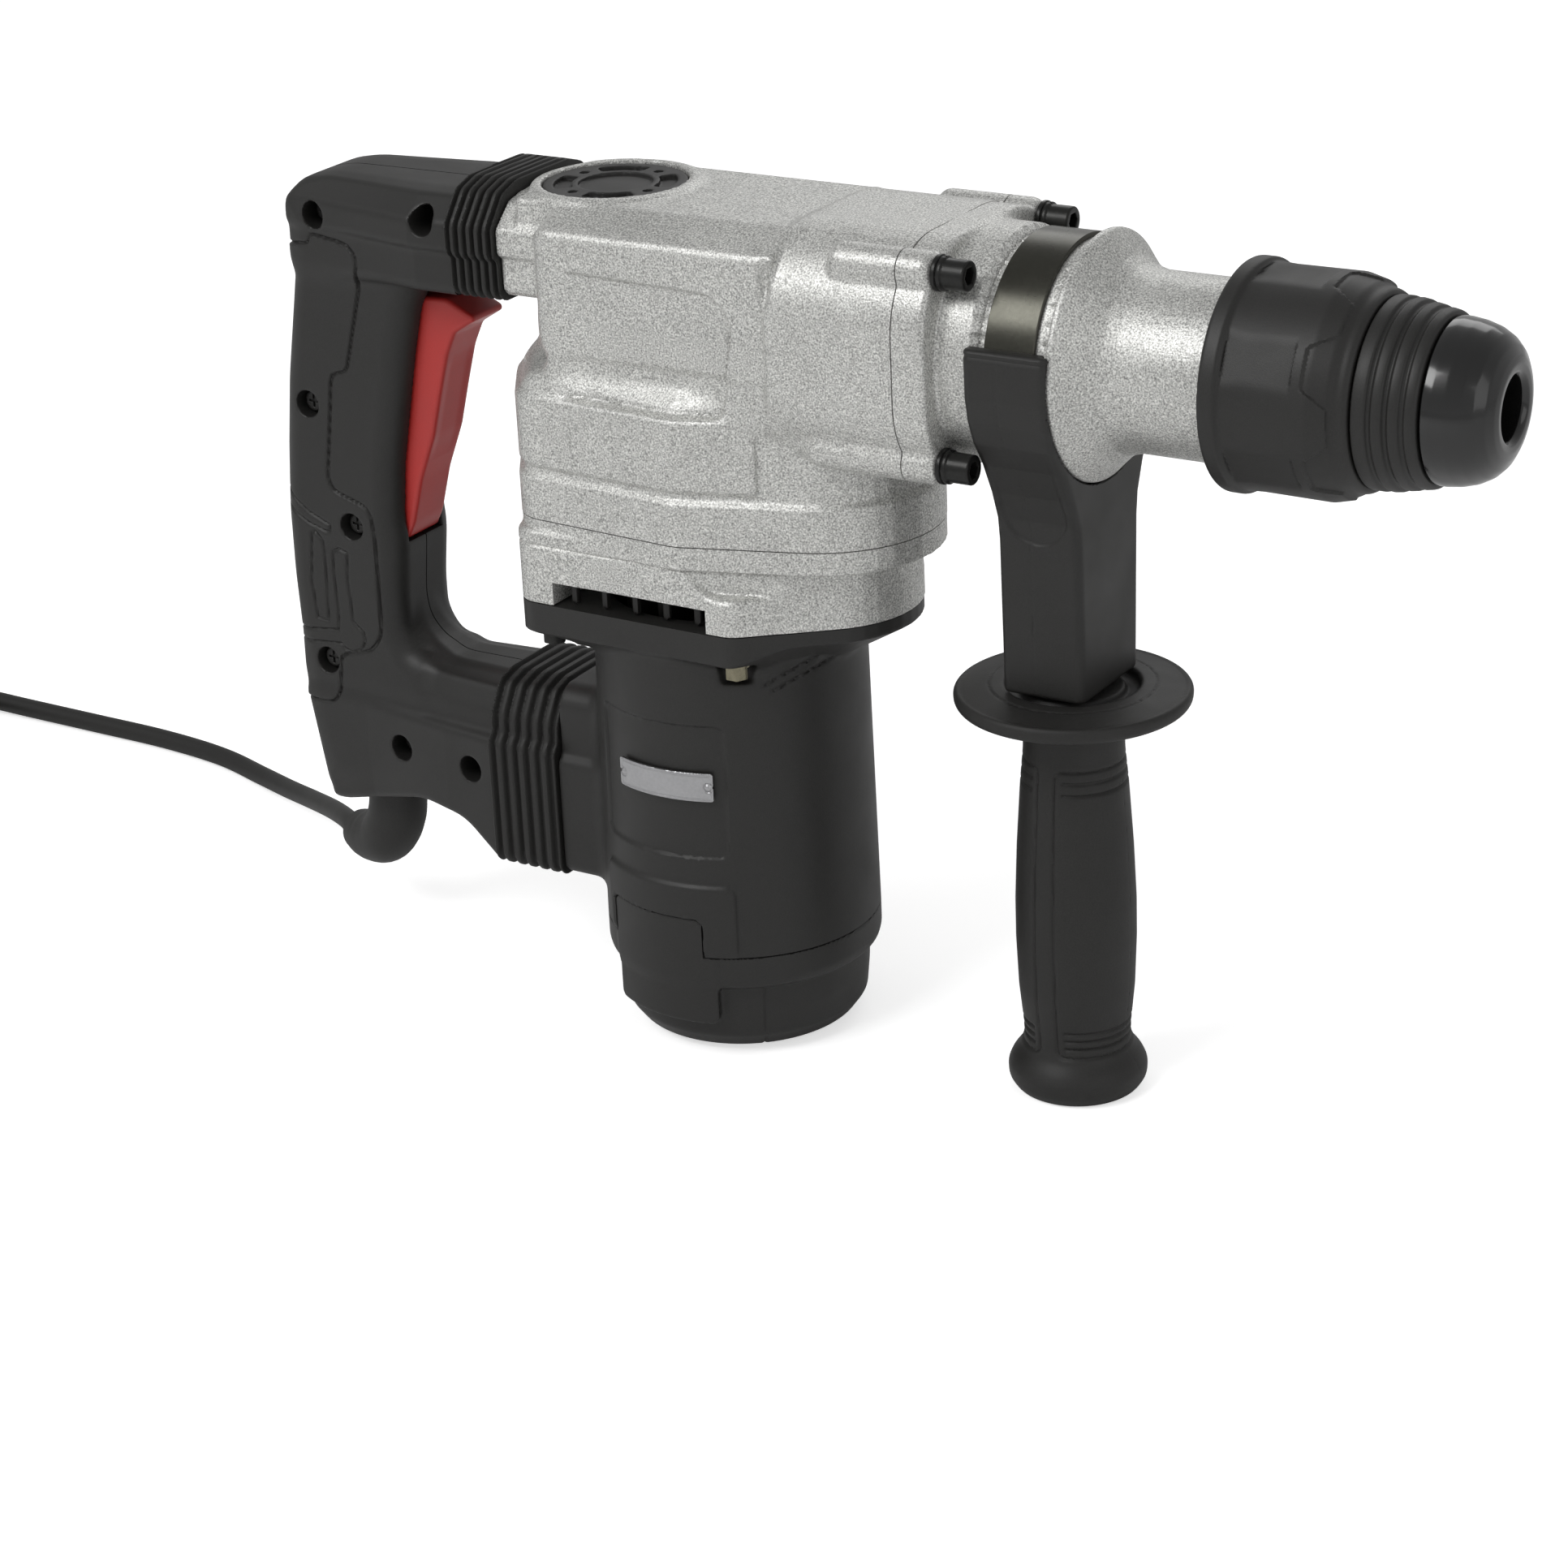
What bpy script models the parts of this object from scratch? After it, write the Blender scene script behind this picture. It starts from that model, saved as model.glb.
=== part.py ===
"""Rotary hammer with an upright motor, built as separate named solids.

Frame: the spindle runs along +X at SPINDLE_Z, the motor turns on the Z axis, and the
motor end cap and the end of the side grip both stand on Z = 0.  Lengths are in metres.
"""
import math

import bmesh
import bpy
from mathutils import Matrix, Vector

# ---- driving dimensions ----------------------------------------------------
SPINDLE_Z = 0.264          # spindle axis above the standing surface
GAP = 0.0003               # clearance between pieces that touch
CRANK_X = -0.0375          # crankshaft axis, behind the motor
LAYSHAFT_X = 0.0425        # intermediate shaft axis, ahead of the motor
GRIP_X = 0.135             # side handle axis
GEAR_MODULE = 0.00125
PINION_TEETH = 12
CRANK_TEETH = 48
LAYSHAFT_TEETH = 56
BEVEL_MODULE = 0.00175
BEVEL_PINION_TEETH = 10
BEVEL_GEAR_TEETH = 36
BEVEL_TIP = 0.6            # tooth height above and below the pitch cone, in modules
BEVEL_ROOT = 0.9
BEVEL_INNER = 0.8          # where the teeth end inwards, as a share of the cone
CRANK_THROW = 0.011        # half of the piston's stroke
ROD_LENGTH = 0.046

SEAM_Z = 0.195             # gear housing stands on the gearbox base here
BASE_Z = 0.165             # gearbox base stands on the motor housing here
CAP_Z = 0.045              # motor housing stands on its end cap here
FRONT_X = 0.0955           # front housing bolts to the gear housing here
NECK_END_X = 0.197
REAR_X = -0.067            # gear housing's rear face, at the upper bellows
HANDLE_X = -0.088          # handle shells' front faces, at both bellows
MOTOR_REAR_X = -0.058      # motor housing's rear boss, at the lower bellows

MOTOR_R = 0.0495
PLATE_R = 0.0490           # inner face of the name plate, just off the barrel
PLATE_THICKNESS = 0.0009
PLATE_HALF_ANGLE = 23      # degrees to each side of -Y
COLLAR_R = 0.0373          # collar that the clamp band grips
FLANGE_R = 0.041
NECK_R = 0.0294
SOCKET_R = 0.0091          # 18 mm tool shank with its running clearance
TUBE_R = 0.020
TUBE_BORE_R = 0.0163
BOLT_Y = 0.0353            # front housing bolts, beside the spindle
BOLT_DZ = 0.032            # and above and below it
BOLT_R = 0.003
BOSS_END_X = 0.1075        # front faces of the four bolt bosses
CORD_D = 0.008
COIL_R = 0.0481            # mean radius of the stored coil's middle turns
COIL_CENTRE = (-0.496, 0.0390)
TRIGGER_PIVOT = (-0.1290, 0.0, 0.1690)
KNOB_X = 0.030             # mode knob's axis, along Y, and the face it sits on
KNOB_Y = 0.0508
KNOB_Z = 0.220

# round corners of the castings' outlines, seen from above: (x, y, radius)
GEAR_CASE = [(-0.044, -0.031, 0.016), (-0.044, 0.031, 0.016), (0.010, -0.035, 0.016), (0.010, 0.035, 0.016)]
GEAR_CASE += [(CRANK_X, 0.0, 0.0385), (LAYSHAFT_X, 0.0, 0.040)]
FLANGE_CASE = [(-0.048, -0.039, 0.010), (-0.048, 0.039, 0.010), (0.0285, -0.040, 0.010), (0.0285, 0.040, 0.010)]
FLANGE_CASE += [(0.039, 0.0, 0.0345)]

SPINDLE_TURN = (0.0, math.pi / 2, 0.0)      # local Z onto world X
SIDE_TURN = (-math.pi / 2, 0.0, 0.0)        # local Z onto world Y


# ---- scene and materials ---------------------------------------------------
def clear_scene():
    for item in list(bpy.data.objects):
        bpy.data.objects.remove(item, do_unlink=True)


def make_material(name, colour, roughness, metallic):
    material = bpy.data.materials.new(name)
    material.use_nodes = True
    shader = material.node_tree.nodes["Principled BSDF"]
    shader.inputs["Base Color"].default_value = (*colour, 1.0)
    shader.inputs["Roughness"].default_value = roughness
    shader.inputs["Metallic"].default_value = metallic
    return material


def make_materials():
    table = {
        "silver_paint": ((0.55, 0.55, 0.53), 0.45, 0.6),
        "black_plastic": ((0.035, 0.033, 0.032), 0.5, 0.0),
        "black_rubber": ((0.03, 0.028, 0.027), 0.6, 0.0),
        "gloss_black": ((0.02, 0.02, 0.02), 0.15, 0.0),
        "red_plastic": ((0.42, 0.035, 0.03), 0.35, 0.0),
        "black_steel": ((0.05, 0.05, 0.05), 0.35, 0.9),
        "zinc_steel": ((0.5, 0.45, 0.3), 0.3, 0.9),
        "bright_steel": ((0.55, 0.55, 0.55), 0.3, 1.0),
        "plate_aluminium": ((0.6, 0.6, 0.6), 0.35, 1.0),
        "copper": ((0.6, 0.28, 0.14), 0.35, 1.0),
        "laminations": ((0.25, 0.25, 0.26), 0.45, 0.8),
        "fan_plastic": ((0.06, 0.06, 0.06), 0.5, 0.0),
    }
    return {name: make_material(name, *values) for name, values in table.items()}


# ---- mesh helpers ----------------------------------------------------------
def add_solid(name, bm, material, origin=(0, 0, 0), turn=(0, 0, 0)):
    """Close a bmesh into an object whose local frame sits at origin, turned by turn."""
    bmesh.ops.recalc_face_normals(bm, faces=bm.faces)
    mesh = bpy.data.meshes.new(name)
    bm.to_mesh(mesh)
    bm.free()
    mesh.shade_smooth()
    mesh.set_sharp_from_angle(angle=math.radians(35))
    mesh.materials.append(material)
    item = bpy.data.objects.new(name, mesh)
    item.location = origin
    item.rotation_euler = turn
    bpy.context.scene.collection.objects.link(item)
    return item


def add_loops(bm, loops):
    """Skin a list of equal outlines and cap both ends."""
    rows = [[bm.verts.new(point) for point in loop] for loop in loops]
    for lower, upper in zip(rows, rows[1:]):
        for i in range(len(lower)):
            j = (i + 1) % len(lower)
            bm.faces.new((lower[i], lower[j], upper[j], upper[i]))
    bm.faces.new(rows[0])
    bm.faces.new(rows[-1])


def add_lathe(bm, profile, steps):
    """Turn (radius, height) points about local Z; a zero radius makes a pole."""
    rings = []
    for radius, height in profile:
        if radius == 0:
            rings.append([bm.verts.new((0, 0, height))])
            continue
        angles = [2 * math.pi * k / steps for k in range(steps)]
        rings.append([bm.verts.new((radius * math.cos(a), radius * math.sin(a), height)) for a in angles])
    pairs = list(zip(rings, rings[1:]))
    if len(rings[0]) > 1:
        pairs.append((rings[-1], rings[0]))
    for lower, upper in pairs:
        for k in range(steps):
            corners = [lower[k % len(lower)], lower[(k + 1) % len(lower)]]
            corners += [upper[(k + 1) % len(upper)], upper[k % len(upper)]]
            distinct = [v for i, v in enumerate(corners) if v not in corners[:i]]
            if len(distinct) > 2:
                bm.faces.new(distinct)


def turned(name, profile, material, origin=(0, 0, 0), turn=(0, 0, 0), steps=20):
    bm = bmesh.new()
    add_lathe(bm, profile, steps)
    return add_solid(name, bm, material, origin, turn)


def prism_loops(outline, axis, low, high):
    """Two copies of a flat outline, in the plane square to axis, at low and at high."""
    place = {
        "X": lambda u, v, t: (t, u, v),
        "Y": lambda u, v, t: (u, t, v),
        "Z": lambda u, v, t: (u, v, t),
    }[axis]
    return [[place(u, v, t) for u, v in outline] for t in (low, high)]


def prism(name, outline, axis, low, high, material, origin=(0, 0, 0)):
    bm = bmesh.new()
    add_loops(bm, prism_loops(outline, axis, low, high))
    bmesh.ops.translate(bm, verts=bm.verts, vec=-Vector(origin))
    return add_solid(name, bm, material, origin)


def box_outline(u0, u1, v0, v1):
    return [(u0, v0), (u1, v0), (u1, v1), (u0, v1)]


def block(name, low, high, material):
    outline = box_outline(low[0], high[0], low[1], high[1])
    return prism(name, outline, "Z", low[2], high[2], material)


def rounded_box(u0, u1, v0, v1, radius, steps=3):
    """Outline of a rectangle with round corners, counter-clockwise."""
    corners = [(u1 - radius, v1 - radius, 0), (u0 + radius, v1 - radius, 90)]
    corners += [(u0 + radius, v0 + radius, 180), (u1 - radius, v0 + radius, 270)]
    points = []
    for u, v, start in corners:
        for k in range(steps + 1):
            angle = math.radians(start + 90 * k / steps)
            points.append((u + radius * math.cos(angle), v + radius * math.sin(angle)))
    return points


def circle_outline(u, v, radius, steps):
    angles = [2 * math.pi * k / steps for k in range(steps)]
    return [(u + radius * math.cos(a), v + radius * math.sin(a)) for a in angles]


def belt_outline(circles, steps=24):
    """Outline of a belt drawn tight round circles, each (centre u, centre v, radius)."""
    points = sorted(p for u, v, r in circles for p in circle_outline(u, v, r, steps))

    def half(sequence):
        chain = []
        for p in sequence:
            while len(chain) > 1 and turn_of(chain[-2], chain[-1], p) <= 1e-12:
                chain.pop()
            chain.append(p)
        return chain[:-1]

    return half(points) + half(points[::-1])


def turn_of(a, b, c):
    return (b[0] - a[0]) * (c[1] - a[1]) - (b[1] - a[1]) * (c[0] - a[0])


def sleeve_sections(sections):
    """Rounded box outlines along X from (x, half width, bottom, top, corner radius)."""
    loops = []
    for x, half, bottom, top, radius in sections:
        loops.append([(x, y, z) for y, z in rounded_box(-half, half, bottom, top, radius)])
    return loops


def combine(target, tool, operation):
    """Union or difference; the tool stays as a hidden wire guide."""
    tool.hide_render = True
    tool.display_type = "WIRE"
    modifier = target.modifiers.new(tool.name, "BOOLEAN")
    modifier.operation = operation
    modifier.solver = "EXACT"
    modifier.object = tool


def cut(target, *tools):
    for tool in tools:
        combine(target, tool, "DIFFERENCE")


def join(target, *tools):
    for tool in tools:
        combine(target, tool, "UNION")


def cylinder_tool(name, radius, low, high, origin, turn=(0, 0, 0), steps=20):
    profile = [(0, low), (radius, low), (radius, high), (0, high)]
    return turned(name, profile, GUIDE, origin, turn, steps)


def bolt_holes(name, places, radius, low, high, turn, steps=8):
    """Several parallel cylinders in one cutter."""
    bm = bmesh.new()
    rotation = Matrix.Rotation(turn[1], 4, "Y") @ Matrix.Rotation(turn[0], 4, "X")
    for place in places:
        part = bmesh.new()
        add_lathe(part, [(0, low), (radius, low), (radius, high), (0, high)], steps)
        bmesh.ops.transform(part, matrix=Matrix.Translation(place) @ rotation, verts=part.verts)
        copy = bpy.data.meshes.new("hole")
        part.to_mesh(copy)
        part.free()
        bm.from_mesh(copy)
        bpy.data.meshes.remove(copy)
    return add_solid(name, bm, GUIDE)


# ---- gears -----------------------------------------------------------------
def tooth_outline(teeth, module, phase, width=0.42, tip=0.8, root=1.05):
    """Spur gear outline: short tapered teeth, narrower than the gaps, so they run free."""
    pitch_r = teeth * module / 2
    pitch_angle = 2 * math.pi / teeth
    slope = math.tan(math.radians(20)) * module / pitch_r
    half = width * pitch_angle / 2
    shape = [(-half - root * slope, -root), (-half + tip * slope, tip)]
    shape += [(half - tip * slope, tip), (half + root * slope, -root)]
    points = []
    for k in range(teeth):
        for offset, height in shape:
            angle = phase + k * pitch_angle + offset
            radius = pitch_r + height * module
            points.append((radius * math.cos(angle), radius * math.sin(angle)))
    return points


def gear_with_bore(name, outline, low, high, bore, material, origin, steps=20):
    gear = prism(name, outline, "Z", low, high, material)
    gear.location = origin
    cut(gear, cylinder_tool(name + "_bore", bore, low - 0.002, high + 0.002, origin, steps=steps))
    return gear


# ---- castings --------------------------------------------------------------
def spindle_origin(x):
    return (x, 0.0, SPINDLE_Z)


def bolt_places():
    return [(0, side * BOLT_Y, SPINDLE_Z + up * BOLT_DZ) for up in (1, -1) for side in (-1, 1)]


def make_gear_housing(mats):
    upper = bmesh.new()
    sections = [
        (REAR_X, 0.031, 0.266, 0.3005, 0.008),
        (-0.056, 0.031, 0.264, 0.3005, 0.008),
        (-0.046, 0.040, 0.250, 0.301, 0.014),
        (-0.020, 0.0435, 0.228, 0.302, 0.016),
        (0.045, 0.044, 0.226, 0.302, 0.018),
        (0.062, 0.0455, 0.2255, 0.304, 0.022),
        (FRONT_X - GAP / 2, 0.046, 0.2245, 0.304, 0.024),
    ]
    add_loops(upper, sleeve_sections(sections))
    housing = add_solid("gear_housing", upper, mats["silver_paint"])
    skirt = belt_outline(GEAR_CASE, 16)
    join(housing, prism("housing_skirt", skirt, "Z", SEAM_Z + GAP / 2, 0.246, GUIDE))
    bosses = bolt_holes("housing_bosses", bolt_places(), 0.0068, 0.066, FRONT_X - GAP / 2, SPINDLE_TURN, 10)
    join(housing, bosses)
    join(housing, cylinder_tool("knob_boss", 0.0165, 0.030, KNOB_Y - GAP, (KNOB_X, 0, KNOB_Z), SIDE_TURN, 24))
    room = belt_outline([(CRANK_X, 0, 0.0345), (0.006, 0, 0.046), (LAYSHAFT_X, 0, 0.0370)], 20)
    cut(housing, prism("gear_room", room, "Z", SEAM_Z - 0.01, 0.2425, GUIDE))
    cut(housing, cylinder_tool("crank_room", 0.0254, 0.230, 0.310, (CRANK_X, 0, 0), steps=24))
    cut(housing, cylinder_tool("tube_room", 0.0225, -0.036, 0.050, spindle_origin(0), SPINDLE_TURN))
    cut(housing, cylinder_tool("bevel_room", 0.0355, 0.034, 0.110, spindle_origin(0), SPINDLE_TURN, 24))
    threads = bolt_holes("housing_threads", bolt_places(), BOLT_R + GAP, 0.078, 0.100, SPINDLE_TURN)
    cut(housing, threads)
    return housing


def make_front_housing(mats):
    bm = bmesh.new()
    sections = [
        (FRONT_X + GAP / 2, 0.046, 0.2245, 0.304, 0.024),
        (BOSS_END_X - 0.0005, 0.0455, 0.2245, 0.3035, 0.026),
        (BOSS_END_X, 0.0400, 0.2270, 0.3010, 0.030),
        (0.1170, 0.0395, 0.2275, 0.3005, 0.032),
    ]
    add_loops(bm, sleeve_sections(sections))
    front = add_solid("front_housing", bm, mats["silver_paint"])
    nose = [
        (0, 0.110), (0.0395, 0.110), (0.0395, 0.121), (COLLAR_R, 0.1225), (COLLAR_R, 0.1465),
        (FLANGE_R, 0.1475), (FLANGE_R, 0.1495), (0.0335, 0.1560), (NECK_R, 0.1640),
        (NECK_R, NECK_END_X), (0, NECK_END_X),
    ]
    join(front, turned("front_nose", nose, GUIDE, spindle_origin(0), SPINDLE_TURN, 28))
    bosses = bolt_holes("front_bosses", bolt_places(), 0.0068, FRONT_X + GAP / 2, BOSS_END_X, SPINDLE_TURN, 10)
    join(front, bosses)
    bore = [
        (0, 0.090), (0.0355, 0.090), (0.0355, 0.1020), (0.0262, 0.1020), (0.0262, 0.1150),
        (0.0235, 0.1150), (0.0235, 0.200), (0, 0.200),
    ]
    cut(front, turned("front_bore", bore, GUIDE, spindle_origin(0), SPINDLE_TURN, 20))
    cut(front, bolt_holes("front_holes", bolt_places(), BOLT_R + GAP, 0.090, 0.120, SPINDLE_TURN))
    return front


def make_gearbox_base(mats):
    upper = belt_outline(GEAR_CASE, 16)
    base = prism("gearbox_base", upper, "Z", 0.186, SEAM_Z - GAP / 2, mats["silver_paint"])
    lower = belt_outline(FLANGE_CASE, 16)
    join(base, prism("base_skirt", lower, "Z", BASE_Z + GAP / 2, 0.188, GUIDE))
    cut(base, cylinder_tool("fan_room", 0.0425, 0.150, 0.1765, (0, 0, 0), steps=28))
    cut(base, block("vent", (-0.038, -0.060, 0.1600), (0.021, -0.030, 0.1735), GUIDE))
    cut(base, block("vent_left", (-0.038, 0.030, 0.1600), (0.021, 0.060, 0.1735), GUIDE))
    cut(base, cylinder_tool("base_motor_seat", 0.0143, 0.170, 0.200, (0, 0, 0)))
    for name, x in (("base_crank_seat", CRANK_X), ("base_layshaft_seat", LAYSHAFT_X)):
        cut(base, cylinder_tool(name, 0.0053, 0.1815, 0.200, (x, 0, 0), steps=16))
    cut(base, flange_holes("base_threads", 0.0022 + GAP, 0.155, 0.1735))
    return base


def flange_places():
    return [(x, side * y, 0) for x, y in ((-0.048, 0.0390), (0.0285, 0.0415)) for side in (-1, 1)]


def flange_holes(name, radius, low, high):
    return bolt_holes(name, flange_places(), radius, low, high, (0, 0, 0), 8)


def make_crank_cover(mats):
    profile = [
        (0, 0.2980), (0.0249, 0.2980), (0.0249, 0.3035), (0.0225, 0.3035), (0.0215, 0.3025),
        (0.0120, 0.3025), (0.0110, 0.3015), (0, 0.3015),
    ]
    return turned("crank_cover", profile, mats["black_plastic"], (CRANK_X, 0, 0), steps=24)


def make_motor_housing(mats):
    barrel = [(0, CAP_Z + GAP / 2), (MOTOR_R, CAP_Z + GAP / 2), (0.0480, 0.160), (0, 0.160)]
    motor = turned("motor_housing", barrel, mats["black_plastic"], steps=28)
    flange = belt_outline(FLANGE_CASE, 16)
    join(motor, prism("motor_flange", flange, "Z", 0.1535, BASE_Z - GAP / 2, GUIDE))
    rear = rounded_box(-0.0290, 0.0290, 0.0515, 0.1230, 0.009)
    join(motor, prism("motor_rear_boss", rear, "X", MOTOR_REAR_X, -0.030, GUIDE))
    cut(motor, cylinder_tool("motor_bore", 0.0418, 0.030, 0.180, (0, 0, 0), steps=28))
    niches = [place for place in flange_places() if place[0] > 0]
    cut(motor, bolt_holes("flange_niches", niches, 0.0064, 0.1400, 0.1538, (0, 0, 0), 11))
    cut(motor, flange_holes("flange_clearance", 0.0022 + GAP, 0.145, 0.175))
    return motor


def make_end_cap(mats):
    outer = [
        (0, 0), (0.034, 0), (0.040, 0.0030), (0.0445, 0.0085), (0.0450, 0.0200), (0.0485, 0.0260),
        (MOTOR_R, 0.030), (MOTOR_R, CAP_Z - GAP / 2), (0.0452, CAP_Z - GAP / 2), (0.0420, 0.0200),
        (0.0400, 0.0080), (0.0170, 0.0055), (0.0170, 0.0145), (0.0118, 0.0145), (0.0118, 0.0045),
        (0, 0.0045),
    ]
    return turned("motor_end_cap", outer, mats["black_plastic"], steps=28)


def make_name_plate(mats):
    """Thin plate bent round the right side of the barrel."""
    angles = [math.radians(-90 + PLATE_HALF_ANGLE * k / 3) for k in range(-3, 4)]
    inner = [(PLATE_R * math.cos(a), PLATE_R * math.sin(a)) for a in angles]
    outer_r = PLATE_R + PLATE_THICKNESS
    outer = [(outer_r * math.cos(a), outer_r * math.sin(a)) for a in reversed(angles)]
    return prism("name_plate", inner + outer, "Z", 0.1010, 0.1115, mats["plate_aluminium"])


def make_bolts(mats):
    washer_x = BOSS_END_X + GAP
    head_x = washer_x + 0.0035
    top_x = head_x + 0.0080
    head = [
        (0, 0.079), (BOLT_R, 0.079), (BOLT_R, washer_x), (0.0062, washer_x), (0.0062, head_x),
        (0.0050, head_x), (0.0050, top_x), (0, top_x),
    ]
    for k, (_, y, z) in enumerate(bolt_places()):
        turned(f"front_bolt_{k + 1}", head, mats["black_steel"], (0, y, z), SPINDLE_TURN, 12)
    cap = [
        (0, 0.1470), (0.0042, 0.1470), (0.0042, 0.1520), (0.0050, 0.1522), (0.0050, 0.1532),
        (0.0022, 0.1532), (0.0022, 0.1725), (0, 0.1725),
    ]
    for k, (x, y, _) in enumerate(flange_places()):
        turned(f"flange_bolt_{k + 1}", cap, mats["zinc_steel"], (x, y, 0), steps=8)


# ---- rear handle -----------------------------------------------------------
def handle_outline():
    """Side view of the loop handle in X and Z: the outside first, then the finger gap."""
    outside = [
        (HANDLE_X, 0.2995), (-0.150, 0.2990), (-0.161, 0.2955), (-0.1665, 0.2880),
        (-0.1665, 0.2720), (-0.1720, 0.2450), (-0.1775, 0.2150), (-0.1815, 0.1850),
        (-0.1830, 0.1500), (-0.1825, 0.1250), (-0.1800, 0.0980), (-0.1725, 0.0560),
        (-0.1520, 0.0590), (-0.1260, 0.0660), (-0.1020, 0.0630), (HANDLE_X, 0.0510),
    ]
    inside = [
        (HANDLE_X, 0.1195), (-0.1180, 0.1190), (-0.1275, 0.1205), (-0.1330, 0.1290),
        (-0.1330, 0.1415), (-0.1310, 0.1590), (-0.1290, 0.1740), (-0.1290, 0.2050),
        (-0.1240, 0.2320), (-0.1160, 0.2560), (-0.1080, 0.2640), (HANDLE_X, 0.2655),
    ]
    return outside + inside


def handle_screw_places():
    return [
        (-0.152, 0.2850), (-0.0985, 0.2900), (-0.165, 0.2130), (-0.150, 0.1680),
        (-0.167, 0.1130), (-0.133, 0.0850), (-0.098, 0.0850),
    ]


def make_handle_shells(mats):
    for name, side in (("handle_right_shell", -1), ("handle_left_shell", 1)):
        low, high = sorted((side * GAP / 2, side * 0.0200))
        shell = prism(name, handle_outline(), "Y", low, high, mats["black_plastic"])
        low, high = sorted((side * GAP / 2, side * 0.0310))
        ends = box_outline(-0.104, HANDLE_X, 0.2660, 0.2993)
        join(shell, prism(name + "_upper_end", ends, "Y", low, high, GUIDE))
        low, high = sorted((side * GAP / 2, side * 0.0290))
        foot = [(-0.104, 0.0640), (HANDLE_X, 0.0515), (HANDLE_X, 0.1235), (-0.104, 0.1235)]
        join(shell, prism(name + "_lower_end", foot, "Y", low, high, GUIDE))
        pocket = [
            (-0.1500, 0.2550), (-0.1600, 0.2050), (-0.1620, 0.1600), (-0.1230, 0.1600),
            (-0.1130, 0.1690), (-0.0700, 0.1690), (-0.0700, 0.2648), (-0.1150, 0.2648),
        ]
        cut(shell, prism(name + "_pocket", pocket, "Y", -0.0102, 0.0102, GUIDE))
        seat = box_outline(-0.1660, -0.1425, 0.0500, 0.0780)
        cut(shell, prism(name + "_boot_seat", seat, "Y", -0.0105, 0.0105, GUIDE))
        places = [(x, 0, z) for x, z in handle_screw_places()]
        if side < 0:
            heads = bolt_holes(name + "_sinks", places, 0.0045, 0.0125, 0.040, (math.pi / 2, 0, 0))
            cut(shell, heads)
            shanks = bolt_holes(name + "_holes", places, 0.0025, -0.004, 0.030, (math.pi / 2, 0, 0), 6)
        else:
            shanks = bolt_holes(name + "_holes", places, 0.0025, -0.0105, 0.004, (math.pi / 2, 0, 0), 6)
        cut(shell, shanks)
    profile = [(0, -0.010), (0.0020, -0.010), (0.0020, 0.0128), (0.0039, 0.0128), (0.0039, 0.0158), (0, 0.0158)]
    for k, (x, z) in enumerate(handle_screw_places()):
        turned(f"handle_screw_{k + 1}", profile, mats["black_steel"], (x, 0, z), (math.pi / 2, 0, 0), 6)


def make_bellows(mats):
    upper = rounded_box(-0.0315, 0.0315, 0.2655, 0.3000, 0.007, 2)
    prism("upper_bellows", upper, "X", HANDLE_X + GAP, REAR_X - GAP, mats["black_rubber"])
    lower = rounded_box(-0.0295, 0.0295, 0.0515, 0.1235, 0.009, 2)
    prism("lower_bellows", lower, "X", HANDLE_X + GAP, MOTOR_REAR_X - GAP, mats["black_rubber"])


def make_trigger(mats):
    outline = [
        (-0.1335, 0.1640), (-0.1250, 0.1640), (-0.1165, 0.1715), (-0.1065, 0.2050),
        (-0.0965, 0.2350), (-0.0885, 0.2500), (-0.0840, 0.2550), (-0.0950, 0.2610),
        (-0.1120, 0.2610), (-0.1180, 0.2500), (-0.1250, 0.2200), (-0.1330, 0.1800),
    ]
    trigger = prism("trigger", outline, "Y", -0.0096, 0.0096, mats["red_plastic"], TRIGGER_PIVOT)
    bevel = trigger.modifiers.new("edges", "BEVEL")
    bevel.width = 0.0015
    bevel.segments = 1
    body = [(-0.1590, 0.1950), (-0.1440, 0.1950), (-0.1400, 0.2350), (-0.1535, 0.2350)]
    prism("switch_block", body, "Y", -0.0090, 0.0090, mats["fan_plastic"])


# ---- cord ------------------------------------------------------------------
def smooth_path(points, pieces):
    """Points on a Catmull-Rom curve through the given ones."""
    ends = [2 * points[0] - points[1]] + points + [2 * points[-1] - points[-2]]
    path = []
    for a, b, c, d in zip(ends, ends[1:], ends[2:], ends[3:]):
        for k in range(pieces):
            t = k / pieces
            path.append(0.5 * ((2 * b) + (c - a) * t + (2 * a - 5 * b + 4 * c - d) * t * t
                               + (3 * b - a - 3 * c + d) * t ** 3))
    return path + [points[-1]]


def sweep(name, path, radii, material, steps=12):
    """Round body along a path, one radius for each point."""
    bm = bmesh.new()
    loops = []
    side = Vector((0, 1, 0))
    for k, (point, radius) in enumerate(zip(path, radii)):
        along = (path[min(k + 1, len(path) - 1)] - path[max(k - 1, 0)]).normalized()
        side = (side - along * side.dot(along)).normalized()
        up = along.cross(side)
        angles = [2 * math.pi * i / steps for i in range(steps)]
        loops.append([point + radius * (math.cos(a) * side + math.sin(a) * up) for a in angles])
    add_loops(bm, loops)
    return add_solid(name, bm, material)


def boot_route():
    route = [
        (-0.1540, 0.0, 0.0755), (-0.1545, 0.0, 0.0600), (-0.1560, 0.0, 0.0460),
        (-0.1620, 0.001, 0.0355), (-0.1720, 0.005, 0.0310), (-0.1820, 0.0095, 0.0295),
    ]
    return [Vector(p) for p in route]


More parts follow.
